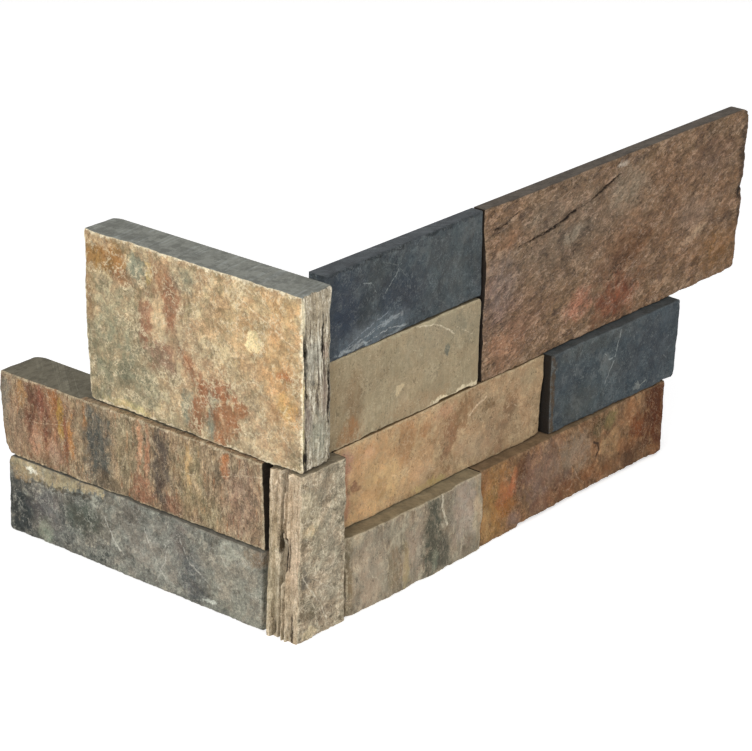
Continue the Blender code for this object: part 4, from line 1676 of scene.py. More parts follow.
@dataclass(frozen=True)
class ShortLeg:
    """The two strips that butt against the back of the corner block."""
    bottom_course: float = 35.5
    grey_reach: float = 169.8
    grey_face: float = -5.3
    brown_reach: float = 173.6
    brown_face: float = -4.6

    grey_finish: SlateFinish = SlateFinish(
        dark="545550", middle="797870", light="a09d90", patch=8.0, lift=(0.98, 0.97, 0.95),
        sawn=Sawn("68665e", "848278"),
        veining=Veining("b2b0a4", 3.6, 0.04, 0.5),
        arris="969286", arris_strength=0.3, grain=0.3, flecks=0.3,
        fleck_colour="c4c2b6", pits=0.35, hollow=0.35, roughness=0.72, bump=0.7,
        streaking=(
            Streaking("a8a599", 1.2, 5.0, 0.25, 0.55, tilt=35.0),
            Streaking("a4a296", 1.1, 4.0, 0.22, 0.5, tilt=-40.0, seed=71.0),
            Streaking("505352", 2.2, 6.0, 0.3, 0.5, tilt=-25.0, seed=17.0),
        ),
        stains=stain_rows(
            (8, 11, 13, 17, "363a3a", 0.95, 0.6), (27, 16, 11, 11, "706b6a", 0.7, 0.5),
            (34, 7, 10, 7, "62625e", 0.6, 0.4), (24, 5, 4.5, 6, "8a9280", 0.65, 0.4),
            (48, 19, 13, 7, "4c5148", 0.85, 0.5), (64, 24, 10, 9, "6c6a60", 0.6, 0.5),
            (88, 15, 20, 14, "9c988e", 0.65, 0.8), (78, 30, 8, 5, "625f58", 0.6, 0.4),
            (104, 28, 4, 7, "68605c", 0.65, 0.4), (113, 12, 7, 12, "54575a", 0.9, 0.4, 20),
            (136, 16, 18, 20, "a09b8c", 0.75, 0.8), (146, 32, 6, 4, "887058", 0.65, 0.4),
            (22, 37, 36, 9.5, "b4a484", 1.0, 0.14, 3), (56, 39, 16, 5, "b0a284", 0.9, 0.3, 6),
            # The first mark on this row is a painted shadow under the lower edge of the beige skin.
            (34, 28, 24, 1.1, "40382e", 0.7, 0.4, 4), (8, 29, 7, 3, "a08868", 0.6, 0.4),
            (16, 32, 3.0, 1.3, "f0ead8", 0.95, 0.3), (121, 4, 5, 1.1, "e2e0d4", 0.9, 0.3, 8),
            (98, 8, 4, 3, "aaa69a", 0.5, 0.5),
        ),
        traces=trace_rows(
            (((60, 24), (66, 15), (72, 10)), 0.6, "c2c0b4", 0.85, 0.45),
            (((84, 26), (92, 12), (97, 4)), 0.6, "c2beb2", 0.8, 0.45),
            (((90, 3), (96, 14), (98, 22)), 0.6, "c0bcb0", 0.8, 0.45),
            (((104, 27), (110, 18), (121, 12)), 0.6, "bcbab0", 0.8, 0.45),
            (((40, 14), (46, 8), (56, 4)), 0.6, "9e9c92", 0.6),
            (((20, 22), (28, 10), (36, 3)), 0.6, "96948c", 0.6),
            (((128, 28), (136, 16), (138, 4)), 0.6, "bcb8a8", 0.6),
        ))

    brown_finish: SlateFinish = SlateFinish(
        dark="715f49", middle="8e795e", light="aa9578", patch=7.0, lift=(1.21, 1.23, 1.28),
        sawn=Sawn("666050", "807a68"),
        veining=Veining("bea886", 2.8, 0.04, 0.5),
        arris="c4b494", arris_strength=0.65, grain=0.34, flecks=0.35,
        fleck_colour="ccbca0", pits=0.55, hollow=0.45, roughness=0.78, bump=0.8,
        weave=0.55,
        streaking=(
            Streaking("b09874", 1.4, 9.0, 0.35, 0.55),
            Streaking("5e4834", 1.3, 9.0, 0.4, 0.65, seed=23.0),
            Streaking("ac7048", 1.2, 10.0, 0.22, 0.6, seed=57.0),
        ),
        stains=stain_rows(
            (28, 22, 18, 22, "8c644a", 0.75, 0.6), (3, 27, 4, 11, "807a6c", 0.75, 0.5),
            (9, 12, 7, 10, "947e66", 0.6, 0.5), (14, 31, 2.4, 7, "a27a50", 0.9, 0.25),
            (20, 24, 3.4, 13, "6c4836", 0.9, 0.3), (24.5, 30, 3.0, 9, "845440", 0.95, 0.25),
            (23, 11, 3, 8, "b68a6c", 0.6, 0.4), (29, 24, 1.8, 12, "744836", 0.75, 0.3),
            (33, 31, 2.4, 7, "8a5a34", 0.85, 0.3), (37.5, 27, 2.2, 10, "a07c3c", 0.85, 0.3),
            (41, 16, 1.4, 11, "86543a", 0.75, 0.3), (44, 18, 1.8, 11, "b07c48", 0.85, 0.3),
            (34, 8, 3, 5, "aa8870", 0.6, 0.4), (49, 20, 3, 14, "928064", 0.6, 0.4),
            (52, 29, 1.4, 6, "b48254", 0.8, 0.3), (60, 18, 8, 19, "585850", 0.9, 0.4),
            (58, 21, 3.4, 9, "4e4e48", 0.8, 0.4), (66, 4, 8, 4.5, "685844", 0.75, 0.4),
            (75, 22, 6, 14, "887d60", 0.55, 0.6), (84, 26, 1.5, 12, "b88866", 0.75, 0.3),
            (88.5, 22, 1.5, 14, "ac7a5c", 0.65, 0.3), (86, 6, 6, 7, "8a6048", 0.85, 0.3),
            (96.5, 20, 5, 20, "564a40", 0.9, 0.4), (103, 5, 5, 5, "885e48", 0.65, 0.4),
            (113, 20, 7, 16, "8c805e", 0.5, 0.6), (112, 24, 1.6, 9, "b89868", 0.6, 0.3),
            (132.5, 32, 2.4, 6, "a86e44", 0.85, 0.3), (142, 18, 10, 16, "927664", 0.55, 0.6),
            (124, 8, 6, 8, "7e7456", 0.55, 0.5), (128, 22, 2, 8, "6e5e4a", 0.6, 0.4),
            (152, 27, 4, 7, "a88e70", 0.5, 0.5),
        ),
        traces=trace_rows(
            (((130, 26), (142, 30), (153, 32)), 0.4, "c4b292", 0.7, 0.44),
            (((108, 22), (113, 22), (119, 23)), 0.35, "c0ae90", 0.7, 0.44),
            (((18, 19), (27, 20), (40, 23)), 0.35, "b8a080", 0.7, 0.44),
            (((72, 34), (76, 28), (82, 26)), 0.5, "baa888", 0.6),
        ))

    def stones(self) -> list[SplitStone]:
        """Gives the grey and the brown strip.

        Returns:
            The two strips.
        """
        butt = COURSES.block_back + COURSES.joint
        grey = SplitStone(
            "short_leg_grey_strip", Leg.SHORT, left=self.grey_reach, right=butt,
            bed=0.0, top=self.bottom_course, face=self.grey_face, back=COURSES.short_back,
            relief=Relief(2.0, 30, 1.6, 2, 31.0, fall=0.8),
            flaking=Flaking(7.5, 0.4, 1.9, 0.26),
            finish=self.grey_finish,
            left_end=StoneEnd(top_radius=4.0, bottom_radius=1.6, front_radius=2.2, back_radius=3.0,
                              outline=((0.0, 0.0), (35, 0.8)), ragged=0.6))
        brown = SplitStone(
            "short_leg_brown_strip", Leg.SHORT, left=self.brown_reach, right=butt,
            bed=self.bottom_course + COURSES.joint, top=COURSES.interlock,
            face=self.brown_face, back=COURSES.short_back,
            relief=Relief(1.5, 20, 0.7, 2, 37.0, fall=2.2),
            flaking=Flaking(6, 0.4, 1.6, 0.3, stretch=0.45),
            finish=self.brown_finish,
            left_end=StoneEnd(top_radius=2.2, bottom_radius=7.0, front_radius=2.6, back_radius=7.0,
                              outline=((0.0, 1.8), (28, 0.0)), ragged=0.6),
            right_end=StoneEnd(butted=True, outline=((0.0, 0.0), (38, 1.6))), lip=(50.0, 4.4))
        return [grey, brown]


@dataclass(frozen=True)
class UpperLongLeg:
    """The dark and olive strips against the corner slab, and the tall red slab beyond them."""
    split: float = 123.0
    olive_height: float = 39.7
    dark_face: float = 5.8
    olive_face: float = 7.0
    red_reach: float = 322.8
    red_face: float = 6.6

    olive_finish: SlateFinish = SlateFinish(
        dark="8c7e63", middle="96886c", light="a09276", patch=16.0, crisp=0.5, tinge=0.25,
        lift=(0.985, 0.965, 0.965),
        sawn=Sawn("605846", "78705c"),
        veining=Veining("b0a386", 4.0, 0.035, 0.55),
        arris="beb294", arris_strength=0.45, grain=0.12, flecks=0.25,
        fleck_colour="c4b89c", pits=0.35, hollow=0.1, roughness=0.68, bump=0.4,
        streaking=(
            Streaking("a2967a", 2.4, 24.0, 0.3, 0.5),
            Streaking("86795e", 2.6, 24.0, 0.3, 0.5, seed=19.0),
        ),
        stains=stain_rows(
            (80, 32, 24, 9, "908872", 0.55, 0.8), (20, 16, 5, 14, "806a4e", 0.7, 0.4),
            (17, 4, 7, 6, "926a44", 0.75, 0.5), (7, 20, 6, 22, "867456", 0.5, 0.8),
            (60, 4, 20, 4, "9c8262", 0.5, 0.6), (80, 22, 1.6, 2.8, "66685c", 0.85, 0.3),
            (89, 31, 3, 5, "7c7662", 0.6, 0.4), (49, 14.5, 2.8, 1.6, "d0bc96", 0.8, 0.25, 35),
            (86, 0.9, 16, 1.5, "e0d2b0", 0.95, 0.35), (60, 39, 26, 1.1, "b2a88a", 0.5, 0.4),
        ),
        traces=trace_rows(
            (((60, 39), (72, 36.5), (80, 32), (84, 29)), 0.5, "ccc0a4", 0.9, 0.4),
            (((86, 31), (91, 28), (97, 25)), 0.5, "c0b498", 0.7),
            (((57, 30), (63, 25), (66, 31)), 0.4, "b6aa8e", 0.6),
            (((42, 4), (43, 16), (42, 28)), 0.4, "ac9e82", 0.6),
            (((92, 38), (93, 20), (92, 6)), 0.4, "b0a488", 0.5),
        ))

    dark_finish: SlateFinish = SlateFinish(
        dark="363d44", middle="444b50", light="565c5e", patch=10.0, crisp=1.2,
        lift=(0.75, 0.77, 0.78), sawn=Sawn("484c4f", "75797b"),
        veining=Veining("707474", 3.4, 0.04, 0.5),
        arris="5c6062", arris_strength=0.25, grain=0.18, flecks=0.35,
        fleck_colour="8c9090", pits=0.35, hollow=0.15, roughness=0.62, bump=0.5,
        streaking=(
            Streaking("5e6263", 1.8, 6.0, 0.25, 0.5, tilt=-35.0),
            Streaking("747877", 0.7, 5.0, 0.14, 0.5, tilt=-60.0, seed=41.0),
        ),
        stains=stain_rows(
            (84, 18, 22, 22, "585c5a", 0.55, 0.9), (94, 32, 6, 5, "686b6a", 0.6, 0.4),
            (30, 30, 16, 7, "4e504c", 0.5, 0.7), (48, 16, 15, 9, "343a44", 0.75, 0.6),
            (12, 18, 12, 18, "323a48", 0.8, 0.8), (28, 13, 7, 9, "3e403c", 0.5, 0.5),
            # The first mark on this row is a painted sheen: a lighter bluish patch at the lower left.
            (32, 5.4, 22, 5.0, "687076", 0.75, 0.6), (19, 1.8, 9, 1.0, "b0b4b4", 0.8, 0.4),
            (44, 1.4, 9, 0.8, "9a9e9e", 0.7, 0.4), (42, 8, 7, 0.8, "a0a4a6", 0.7, 0.4),
            (44, 37.4, 60, 1.0, "1e2224", 0.85, 0.5),
        ),
        traces=trace_rows(
            (((24, 28), (29, 27), (32, 22)), 0.4, "989c98", 0.8, 0.44),
            (((38, 20), (44, 25), (48, 30)), 0.4, "989c98", 0.85, 0.44),
            (((36, 34), (46, 30), (52, 23)), 0.45, "767976", 0.55),
            (((14, 3), (34, 6), (50, 9)), 0.5, "a8acac", 0.85),
            (((18, 1), (40, 4), (52, 2)), 0.5, "b0b2b0", 0.85),
            (((10, 2), (26, 8), (40, 11)), 0.4, "989ea2", 0.8),
            (((20, 3), (32, 7), (44, 7)), 0.4, "a4a8aa", 0.8),
            (((69, 14), (72, 8), (78, 4)), 0.45, "747673", 0.55),
            (((86, 34), (90, 27)), 0.4, "767875", 0.5),
            (((52, 30), (56, 24), (54, 18)), 0.4, "707371", 0.5),
        ))

    red_finish: SlateFinish = SlateFinish(
        dark="665242", middle="82684f", light="9c826a", patch=4.4, lift=(1.04, 1.02, 1.01), tinge=0.4,
        sawn=Sawn("564f47", "726c62", contrast=0.35),
        veining=Veining("a88e7a", 2.6, 0.045, 0.5),
        arris="8e7c68", arris_strength=0.3, grain=0.34, grain_size=0.6, flecks=0.4,
        fleck_colour="bea892", pits=0.6, hollow=0.5, roughness=0.8, bump=0.95,
        weave=1.9, weave_tilt=16.0,
        streaking=(
            Streaking("5a463a", 4.0, 1.0, 0.34, 0.4, tilt=16.0),
            Streaking("a08a78", 4.0, 0.8, 0.28, 0.4, tilt=16.0, seed=29.0),
        ),
        stains=stain_rows(
            (10, 38, 12, 15, "786a68", 0.6, 0.7), (62, 54, 42, 18, "756a5c", 0.6, 0.9),
            (132, 38, 50, 26, "86664c", 0.5, 0.9), (16, 13, 12, 9, "a47c60", 0.75, 0.5),
            (28, 22, 14, 10, "806250", 0.4, 0.7), (104, 62, 13, 9, "908674", 0.6, 0.9),
            (158, 36, 14, 7, "907c6c", 0.5, 0.6), (106, 32, 16, 8, "6e4c34", 0.75, 0.6, 14),
            (90, 27, 14, 6, "6c503e", 0.5, 0.5), (95, 12, 15, 8, "804a34", 0.8, 0.7, 8),
            (67, 17, 9, 5.5, "b27a62", 0.7, 0.6, 25), (14, 60, 12, 4, "926c50", 0.5, 0.5),
            (62, 51, 9, 3, "a89a86", 0.6, 0.7, 12), (58, 42, 10, 3, "5a4c3e", 0.6, 0.4, 14),
            (155, 25, 11, 2, "b89c80", 0.85, 0.4, 18), (132, 12, 2.0, 1.8, "503e34", 0.7, 0.4),
            (178, 12, 15, 9, "8e6840", 0.7, 0.7), (170, 60, 16, 9, "765e50", 0.45, 0.7),
            # Both marks on this row are painted shade: a dark band down the shadowed right edge, and a
            # near-black spot where the right end is set in deepest.
            (195, 50, 2.6, 34, "4a3a2e", 0.85, 0.5), (193, 39, 2.4, 2.0, "221a14", 0.9, 0.3),
            (98, 74, 4.0, 1.0, "cec4b4", 0.75, 0.4), (40, 66, 10, 2.2, "968470", 0.5, 0.5, 14),
        ),
        traces=trace_rows(
            # The first four traces are painted shade in the open cracks of the fissures.
            (((23, 55.7), (38, 56.4), (50, 57.6)), 0.5, "2a1e16", 0.9, 0.35),
            (((49, 57.8), (56, 59.4), (63.5, 62.2)), 1.1, "1c130d", 0.95, 0.3),
            (((74, 63.8), (86, 66.2), (97, 69.6)), 0.7, "2a2018", 0.9, 0.35),
            (((7, 67), (14, 68.4), (22, 72)), 0.5, "33271e", 0.9, 0.35),
            (((64, 62.4), (74, 63.8)), 0.5, "403026", 0.7, 0.4),
            (((4, 23), (14, 26), (20, 28)), 0.5, "4a3e36", 0.6),
            (((34, 9), (46, 12.5), (56, 16)), 0.5, "544236", 0.6),
            (((112, 58), (130, 62), (150, 69)), 0.5, "4e3c30", 0.6),
            (((128, 22), (146, 28), (170, 33)), 0.5, "503e32", 0.6),
        ))

    def stones(self) -> list[SplitStone]:
        """Gives the olive strip, the dark strip and the red slab.

        Returns:
            The three stones.
        """
        butt = COURSES.short_back + COURSES.joint
        olive_top = COURSES.upper_bed + self.olive_height
        olive = SplitStone(
            "long_leg_olive_strip", Leg.LONG, left=butt, right=self.split,
            bed=COURSES.upper_bed, top=olive_top, face=self.olive_face, back=COURSES.long_back,
            relief=Relief(1.0, 34, 0.8, 1, 41.0),
            flaking=Flaking(16, 0.14, 2.6, 0.09, stretch=0.7),
            finish=self.olive_finish, left_end=BONDED,
            right_end=StoneEnd(butted=True, top_radius=2.2, bottom_radius=3.2, front_radius=1.4,
                               outline=((0.0, 0.8),)), chips=(Chip(74, 99, 1.4, 3.0),))
        dark = SplitStone(
            "long_leg_dark_strip", Leg.LONG, left=butt, right=self.split,
            bed=olive_top + COURSES.joint, top=COURSES.panel_height,
            face=self.dark_face, back=COURSES.long_back,
            relief=Relief(1.0, 30, 1.4, 2, 43.0, fall=2.2),
            flaking=Flaking(12, 0.2, 2.4, 0.12),
            finish=self.dark_finish, right_end=BONDED)
        red = SplitStone(
            "long_leg_red_slab", Leg.LONG, left=self.split + COURSES.open_joint,
            right=self.red_reach, bed=COURSES.upper_bed, top=COURSES.panel_height,
            face=self.red_face, back=COURSES.long_back,
            relief=Relief(1.9, 30, 1.3, 3, 47.0),
            flaking=Flaking(3.4, 0.4, 1.2, 0.3, stretch=2.0, tilt=16.0),
            finish=self.red_finish, left_end=StoneEnd(butted=True, front_radius=1.2),
            right_end=StoneEnd(
                top_radius=6.5, bottom_radius=6.0, front_radius=1.8, back_radius=6.4, ragged=0.4,
                outline=((0.0, 5.0), (15, 4.4), (24, 2.2), (35, 2.0), (40, 3.4), (46, 1.6), (60, 0.7),
                         (78, 0.0))),
            fissures=(
                Fissure(((23.0, 55.7), (52.9, 58.2), (64.3, 62.4)), 0.6, 1.2),
                Fissure(((74.0, 63.8), (97.0, 69.6)), 0.6, 1.1),
                Fissure(((7.0, 67.0), (14.0, 68.4), (22.0, 72.0)), 0.5, 0.8),
            ))
        return [olive, dark, red]


@dataclass(frozen=True)
class LowerLongLeg:
    """The four strips that run on from the corner block in two courses."""
    bottom_course: float = 36.2
    middle_split: float = 168.5
    bottom_split: float = 117.4
    tan_face: float = 7.0
    blue_reach: float = 266.0
    blue_face: float = 1.5
    khaki_face: float = -0.6
    rust_reach: float = 257.0
    rust_face: float = 1.0

    tan_finish: SlateFinish = SlateFinish(
        dark="8c7052", middle="a28666", light="b69a78", patch=10.0, lift=(1.03, 1.035, 1.03), crisp=0.8,
        sawn=Sawn("6c583e", "826e52"),
        veining=Veining("b8a080", 3.4, 0.04, 0.5),
        arris="beac8c", arris_strength=0.45, grain=0.14, flecks=0.25,
        fleck_colour="ceb896", pits=0.4, hollow=0.15, roughness=0.7, bump=0.45,
        streaking=(
            Streaking("b69a78", 2.0, 6.0, 0.25, 0.45, tilt=-15.0),
            Streaking("7e6246", 2.4, 1.8, 0.24, 0.5, seed=37.0),
        ),
        stains=stain_rows(
            (28, 18, 28, 21, "be9a70", 0.75, 0.8), (114, 20, 34, 20, "968066", 0.45, 0.9),
            (46, 28, 5, 11, "9c7450", 0.75, 0.3), (20, 30, 9, 5, "c09268", 0.65, 0.4),
            (21, 29.5, 3.4, 2.6, "c8a280", 0.6, 0.3), (7, 29, 4, 7, "ac7e6a", 0.8, 0.3),
            (5, 12, 4.6, 13, "9c705a", 0.8, 0.4), (14, 17, 4, 2.2, "7c5a46", 0.8, 0.25, -25),
            (17, 3, 8, 3, "cca478", 0.7, 0.4), (31, 10, 3.4, 5, "70563a", 0.85, 0.25),
            (30, 13, 12, 10, "c8a374", 0.5, 0.6), (59, 28, 4.4, 3, "926c4a", 0.7, 0.3),
            (72, 32, 7, 3, "b48a6c", 0.6, 0.4), (58, 8, 7, 5, "b89878", 0.5, 0.5),
            (76, 21, 5, 10, "826248", 0.85, 0.25, -25), (85, 28, 5, 8, "826346", 0.85, 0.25, -30),
            (103, 26, 5, 3, "70583e", 0.8, 0.25), (106, 11, 7, 8, "8c7258", 0.6, 0.4),
            (118, 20, 6, 3.6, "765c44", 0.8, 0.25, 20), (114, 13, 5, 3, "7c6048", 0.6, 0.3),
            (110, 5, 3, 3, "84664c", 0.6, 0.3), (92, 9, 12, 6, "a48c72", 0.5, 0.6),
            (62, 2, 9, 1.8, "ac9860", 0.55, 0.4), (132, 27, 8, 6, "a28e70", 0.5, 0.6),
        ),
        traces=trace_rows(
            (((89, 25), (94, 28), (101, 30)), 0.9, "ccb294", 0.85, 0.42),
            (((112, 18), (118, 22), (122, 19)), 0.5, "baa488", 0.6),
            (((126, 9), (134, 14)), 0.6, "b4a086", 0.6),
            (((38, 14), (44, 11), (50, 13)), 0.6, "ceb28c", 0.6),
            (((54, 7), (60, 10), (66, 7)), 0.5, "c4aa8a", 0.6),
        ))

    blue_finish: SlateFinish = SlateFinish(
        dark="394248", middle="464e52", light="585e60", patch=10.0, crisp=1.2,
        lift=(0.77, 0.79, 0.81),
        sawn=Sawn("4c5050", "626462", contrast=0.3),
        veining=Veining("6c706e", 3.4, 0.035, 0.45),
        arris="686c6c", arris_strength=0.35, grain=0.16, flecks=0.35,
        fleck_colour="90948f", pits=0.35, hollow=0.15, roughness=0.62, bump=0.5,
        streaking=(
            Streaking("5c6161", 1.8, 5.0, 0.24, 0.45, tilt=-30.0),
            Streaking("707370", 0.7, 5.0, 0.12, 0.45, tilt=-40.0, seed=53.0),
        ),
        stains=stain_rows(
            (78, 20, 18, 17, "3c424a", 0.5, 0.8), (56, 24, 9, 9, "3a4044", 0.5, 0.6),
            (28, 34, 26, 4, "5a5a54", 0.5, 0.7), (41, 23, 5, 6, "787c7a", 0.7, 0.4),
            (45, 19, 6, 4, "585b5a", 0.5, 0.4), (64, 4, 2, 1.3, "848682", 0.7, 0.3),
            (57, 6, 1.6, 2, "303438", 0.7, 0.3), (88, 11, 4, 2.6, "3c4246", 0.55, 0.35),
            (86, 32, 7, 3.4, "5c6266", 0.5, 0.5), (22, 8, 16, 8, "52544e", 0.5, 0.7),
            (1.0, 18, 2.0, 22, "54422c", 0.9, 0.4),
        ),
        traces=trace_rows(
            (((50, 36), (48.5, 28), (46, 22), (40, 12)), 0.5, "9a9e9a", 0.85, 0.43),
            (((39, 27), (43, 23), (46, 24)), 0.5, "a4a8a4", 0.85),
            (((84, 14), (90, 9)), 0.5, "80827e", 0.6),
            (((62, 6), (67, 3.6), (71, 5)), 0.5, "96988f", 0.8),
            (((16, 20), (19, 12), (22, 6)), 0.4, "383c3c", 0.6),
        ))

    khaki_finish: SlateFinish = SlateFinish(
        dark="7a6e5a", middle="928673", light="aca08a", patch=8.0, lift=(0.955, 0.95, 0.95), crisp=0.6,
        sawn=Sawn("887b61", "9c9076", contrast=0.3),
        veining=Veining("bcb098", 3.0, 0.035, 0.5),
        arris="c0b296", arris_strength=0.6, grain=0.15, flecks=0.3,
        fleck_colour="c6bca4", pits=0.4, hollow=0.15, roughness=0.74, bump=0.5,
        weave=0.7,
        streaking=(
            Streaking("b2a48c", 1.6, 18.0, 0.34, 0.6),
            Streaking("6c6050", 1.5, 18.0, 0.34, 0.65, seed=47.0),
        ),
        stains=stain_rows(
            (2, 18, 2.2, 24, "6e6048", 0.8, 0.4), (7, 34, 5, 3, "baaa8e", 0.6, 0.4),
            (16, 14, 8, 15, "a89884", 0.7, 0.5), (31, 24, 5.5, 3.4, "b8aa92", 0.75, 0.25, 24),
            (31, 11, 4, 11, "82725a", 0.75, 0.35), (38, 10, 2.4, 12, "aa9872", 0.65, 0.3),
            (37, 22, 2, 5, "6e6250", 0.6, 0.3), (45, 16, 4, 14, "928476", 0.5, 0.4),
            (56, 18, 6.2, 22, "4c4c40", 0.95, 0.4), (63, 9, 4.6, 11, "545044", 0.9, 0.4),
            (58, 6, 2, 6, "848874", 0.5, 0.3), (67, 26, 2.4, 9, "827664", 0.6, 0.4),
            (79, 22, 9, 14, "a8988a", 0.7, 0.5), (81, 6, 2, 6, "786a58", 0.5, 0.4),
            (87, 20, 2.4, 16, "b2a082", 0.6, 0.35), (22, 30, 4, 5, "887e6e", 0.45, 0.4),
        ),
        traces=trace_rows(
            (((62, 36), (63, 29), (65, 21)), 1.2, "d2c8b0", 0.85, 0.4),
            (((27, 22), (31, 26), (34, 27)), 0.6, "c6b89e", 0.7),
            (((23, 30), (25, 20), (27, 12)), 0.5, "bcae94", 0.6),
            (((14, 18), (16, 14), (19, 13)), 0.5, "c8bca2", 0.7),
            (((74, 30), (75, 18), (76, 6)), 0.5, "b2a48c", 0.6),
        ))

    rust_finish: SlateFinish = SlateFinish(
        dark="5c432c", middle="7c5f44", light="9a7b5a", patch=7.0, lift=(1.0, 0.95, 0.93), tinge=0.7,
        sawn=Sawn("74624a", "86745c", contrast=0.3),
        veining=Veining("a48a6e", 3.0, 0.035, 0.5),
        arris="967e62", arris_strength=0.35, grain=0.2, flecks=0.3,
        fleck_colour="b8a082", pits=0.5, hollow=0.25, roughness=0.76, bump=0.65,
        weave=0.8, weave_tilt=20.0,
        streaking=(
            Streaking("9c7e60", 1.5, 5.0, 0.3, 0.5, tilt=-20.0),
            Streaking("58402e", 1.5, 4.5, 0.34, 0.5, tilt=10.0, seed=61.0),
        ),
        stains=stain_rows(
            (8, 17, 12, 21, "9e7a48", 0.85, 0.7), (4, 10, 3, 9, "b8986a", 0.6, 0.4),
            (2, 30, 3, 6, "8c6240", 0.5, 0.4), (18, 20, 6, 7, "a66a44", 0.7, 0.4),
            (24, 22, 3, 6, "b26a46", 0.65, 0.35), (12, 29, 8, 4, "a07448", 0.55, 0.4),
            (19, 12, 6, 5, "86582e", 0.75, 0.35), (31, 25, 5.4, 9, "523420", 0.9, 0.35),
            (33, 12, 3.4, 6, "68503a", 0.6, 0.4), (25, 5, 5, 4, "7e6a64", 0.6, 0.5),
            (46, 22, 14, 12, "846c5e", 0.7, 0.6), (42, 9, 7, 7, "7a645c", 0.55, 0.5),
            (68, 22, 12, 9, "8c7c6a", 0.75, 0.4), (62, 11, 8, 5, "624a3e", 0.65, 0.4),
            (58, 7, 20, 3.4, "764e34", 0.65, 0.5), (86, 7, 20, 4, "7c5434", 0.55, 0.5),
            (86, 29, 6, 5, "50482e", 0.85, 0.4), (95, 31, 5, 4, "766e46", 0.65, 0.5),
            (91, 18, 4, 5, "ac8e68", 0.7, 0.35), (100, 18, 5, 7, "a4845e", 0.65, 0.4),
            (105, 10, 3, 4, "6c5038", 0.6, 0.35), (112, 28, 7, 7, "9a724e", 0.6, 0.5),
            (118, 20, 8, 6, "6c3e22", 0.9, 0.35), (108, 14, 8, 4, "926844", 0.5, 0.5),
            (118, 7, 9, 6, "563c28", 0.85, 0.4), (132, 22, 10, 19, "502c16", 1.0, 0.4),
            (127, 5, 7, 3, "846242", 0.6, 0.5),
        ),
        traces=trace_rows(
            (((83, 23), (86, 21.4), (87, 18), (86, 15)), 1.1, "34261a", 0.9, 0.3),
            (((62, 6), (66, 5), (69, 8)), 0.6, "a69078", 0.6),
            (((52, 30), (62, 28), (72, 23), (78, 17)), 0.6, "94826e", 0.6),
            (((70, 14), (72, 9), (76, 6)), 0.5, "a69078", 0.55),
            (((10, 34), (12, 24), (10, 14)), 0.5, "ba9a6c", 0.55),
        ))

    def stones(self) -> list[SplitStone]:
        """Gives the tan, blue, khaki and rust strips.

        Returns:
            The four strips.
        """
        butt = COURSES.block_width + COURSES.joint
        middle_bed = self.bottom_course + COURSES.joint
        tan = SplitStone(
            "long_leg_tan_strip", Leg.LONG, left=butt, right=self.middle_split,
            bed=middle_bed, top=COURSES.interlock, face=self.tan_face, back=COURSES.long_back,
            relief=Relief(1.2, 28, 1.2, 1, 53.0),
            flaking=Flaking(10, 0.2, 2.2, 0.13),
            finish=self.tan_finish, left_end=BONDED,
            right_end=StoneEnd(butted=True, bottom_radius=1.8, outline=((0.0, 2.4), (37, 0.0))))
        blue = SplitStone(
            "long_leg_blue_strip", Leg.LONG, left=self.middle_split + COURSES.joint,
            right=self.blue_reach, bed=middle_bed, top=COURSES.interlock,
            face=self.blue_face, back=COURSES.long_back,
            relief=Relief(1.2, 30, 1.5, 2, 59.0, fall=-1.6),
            flaking=Flaking(10, 0.26, 2.2, 0.14),
            finish=self.blue_finish, left_end=StoneEnd(butted=True, front_radius=1.2),
            right_end=StoneEnd(top_radius=1.4, bottom_radius=3.6, front_radius=1.6, ragged=0.6,
                               outline=((0.0, 2.6), (28, 0.0))))
        khaki = SplitStone(
            "long_leg_khaki_strip", Leg.LONG, left=butt, right=self.bottom_split,
            bed=0.0, top=self.bottom_course, face=self.khaki_face, back=COURSES.long_back,
            relief=Relief(1.9, 24, 0.9, 1, 61.0),
            flaking=Flaking(9, 0.26, 1.9, 0.15, stretch=0.6),
            finish=self.khaki_finish,
            left_end=StoneEnd(front_radius=5.5), right_end=BONDED)
        rust = SplitStone(
            "long_leg_rust_strip", Leg.LONG, left=self.bottom_split + COURSES.joint,
            right=self.rust_reach, bed=0.0, top=self.bottom_course,
            face=self.rust_face, back=COURSES.long_back,
            relief=Relief(1.4, 26, 1.2, 2, 67.0),
            flaking=Flaking(7, 0.45, 1.9, 0.2),
            finish=self.rust_finish, left_end=BONDED,
            right_end=StoneEnd(top_radius=1.6, bottom_radius=2.4, front_radius=1.8, ragged=0.7,
                               outline=((0.0, 2.4), (36, 0.0))),
            chips=(Chip(26, 150, 1.8, 4.5),))
        return [tan, blue, khaki, rust]


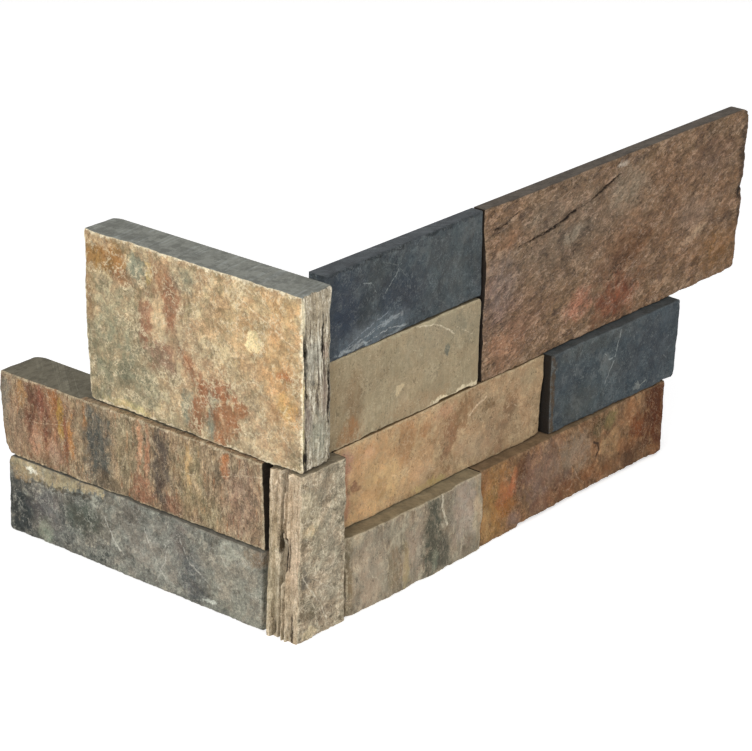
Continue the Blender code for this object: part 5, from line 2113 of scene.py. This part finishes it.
@dataclass(frozen=True)
class Studio:
    """White floor, plain soft light and the camera at the photograph's angle.

    Its places and sizes are in metres, the lens and the sensor in millimetres.
    """
    lens: float = 140.24
    sensor: float = 36.0
    eye: tuple[float, float, float] = (-0.794169, -0.702066, 0.557987)
    right: tuple[float, float, float] = (0.6462452, -0.7630181, 0.0130623)
    up: tuple[float, float, float] = (0.2845198, 0.2567887, 0.9236385)
    forward: tuple[float, float, float] = (0.7081071, 0.5931804, -0.3830422)
    floor_half: float = 6.0
    lamp_size: float = 1.2
    lamp_distance: float = 1.6
    sky: float = 0.45
    key_share: float = 0.62
    fill_share: float = 0.34
    key_from: tuple[float, float, float] = (-0.95, -0.30, 0.45)
    fill_from: tuple[float, float, float] = (-0.15, -0.95, 0.40)
    floor_tone: float = 0.86
    floor_glow: float = 0.5

    def camera(self, corner: Vector) -> None:
        """Sets up the camera.

        Args:
            corner: The outer corner of the part.
        """
        data = bpy.data.cameras.new("photograph")
        data.lens = self.lens
        data.sensor_width = self.sensor
        camera = bpy.data.objects.new("photograph", data)
        axes = Matrix((self.right, self.up, -Vector(self.forward))).transposed().to_4x4()
        camera.matrix_world = Matrix.Translation(corner + Vector(self.eye)) @ axes
        bpy.context.scene.collection.objects.link(camera)
        bpy.context.scene.camera = camera

    def floor(self) -> None:
        """Lays the white floor that keeps the part's soft shadow."""
        bm = bmesh.new()
        bmesh.ops.create_grid(bm, x_segments=1, y_segments=1, size=self.floor_half)
        mesh = bpy.data.meshes.new("floor")
        bm.to_mesh(mesh)
        bm.free()
        material = bpy.data.materials.new("white_floor")
        material.use_nodes = True
        wiring = Wiring(material.node_tree)
        shader = wiring.tree.nodes["Principled BSDF"]
        shader.inputs["Base Color"].default_value = (self.floor_tone, self.floor_tone, self.floor_tone, 1.0)
        shader.inputs["Roughness"].default_value = 1.0
        shader.inputs["Emission Color"].default_value = (1.0, 1.0, 1.0, 1.0)
        wiring.feed(shader.inputs["Emission Strength"], wiring.math(
            "MULTIPLY", wiring.node("ShaderNodeLightPath").outputs["Is Camera Ray"], self.floor_glow))
        mesh.materials.append(material)
        floor = bpy.data.objects.new("floor", mesh)
        bpy.context.scene.collection.objects.link(floor)

    def world(self) -> None:
        """Lights the part evenly from all round, in front of plain white."""
        world = bpy.data.worlds.new("studio")
        world.use_nodes = True
        wiring = Wiring(world.node_tree)
        background = wiring.tree.nodes["Background"]
        background.inputs["Color"].default_value = (1.0, 1.0, 1.0, 1.0)
        rays = wiring.node("ShaderNodeLightPath").outputs
        seen = wiring.math("MAXIMUM", rays["Is Camera Ray"], rays["Is Transmission Ray"])
        seen = wiring.math("MAXIMUM", seen, rays["Is Glossy Ray"])
        wiring.feed(background.inputs["Strength"], wiring.math(
            "ADD", self.sky, wiring.math("MULTIPLY", seen, 1.0 - self.sky)))
        bpy.context.scene.world = world

    def lamp(self, name: str, towards: tuple[float, float, float], share: float) -> None:
        """Hangs one large soft lamp.

        Args:
            name: Its name.
            towards: The direction from the part to the lamp.
            share: Its share of the light on a face turned to it.
        """
        direction = Vector(towards).normalized()
        data = bpy.data.lights.new(name, "AREA")
        data.shape = "DISK"
        data.size = self.lamp_size
        data.energy = share * (math.pi * self.lamp_distance) ** 2
        lamp = bpy.data.objects.new(name, data)
        lamp.rotation_mode = "QUATERNION"
        lamp.rotation_quaternion = direction.to_track_quat("Z", "Y")
        lamp.location = direction * self.lamp_distance
        bpy.context.scene.collection.objects.link(lamp)

    def build(self, corner: Vector) -> None:
        """Sets up the whole studio.

        Args:
            corner: The outer corner of the part.
        """
        bpy.context.scene.view_settings.view_transform = "Standard"
        self.camera(corner)
        self.floor()
        self.world()
        self.lamp("key", self.key_from, self.key_share)
        self.lamp("fill", self.fill_from, self.fill_share)


def outer_corner() -> Vector:
    """Finds the outer corner of the part from the backs of its two legs.

    Returns:
        The corner's place at the height of the bed.
    """
    long_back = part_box("long_leg_red_slab")[1].y
    short_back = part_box("short_leg_brown_strip")[1].x
    return Vector((short_back - COURSES.short_back * MM, long_back - COURSES.long_back * MM, 0.0))


def main() -> None:
    """Builds the four sub-assemblies and the studio, and reports each piece."""
    logging.basicConfig(level=logging.INFO, format="%(message)s")
    corner = outer_corner()
    LOG.info("outer corner at %.6f, %.6f", corner.x, corner.y)
    effects = SlateEffects()
    for assembly in (CornerStones(), ShortLeg(), UpperLongLeg(), LowerLongLeg()):
        for stone in assembly.stones():
            stone.build(corner, effects)
    Studio().build(corner)


if __name__ == "__main__":
    main()
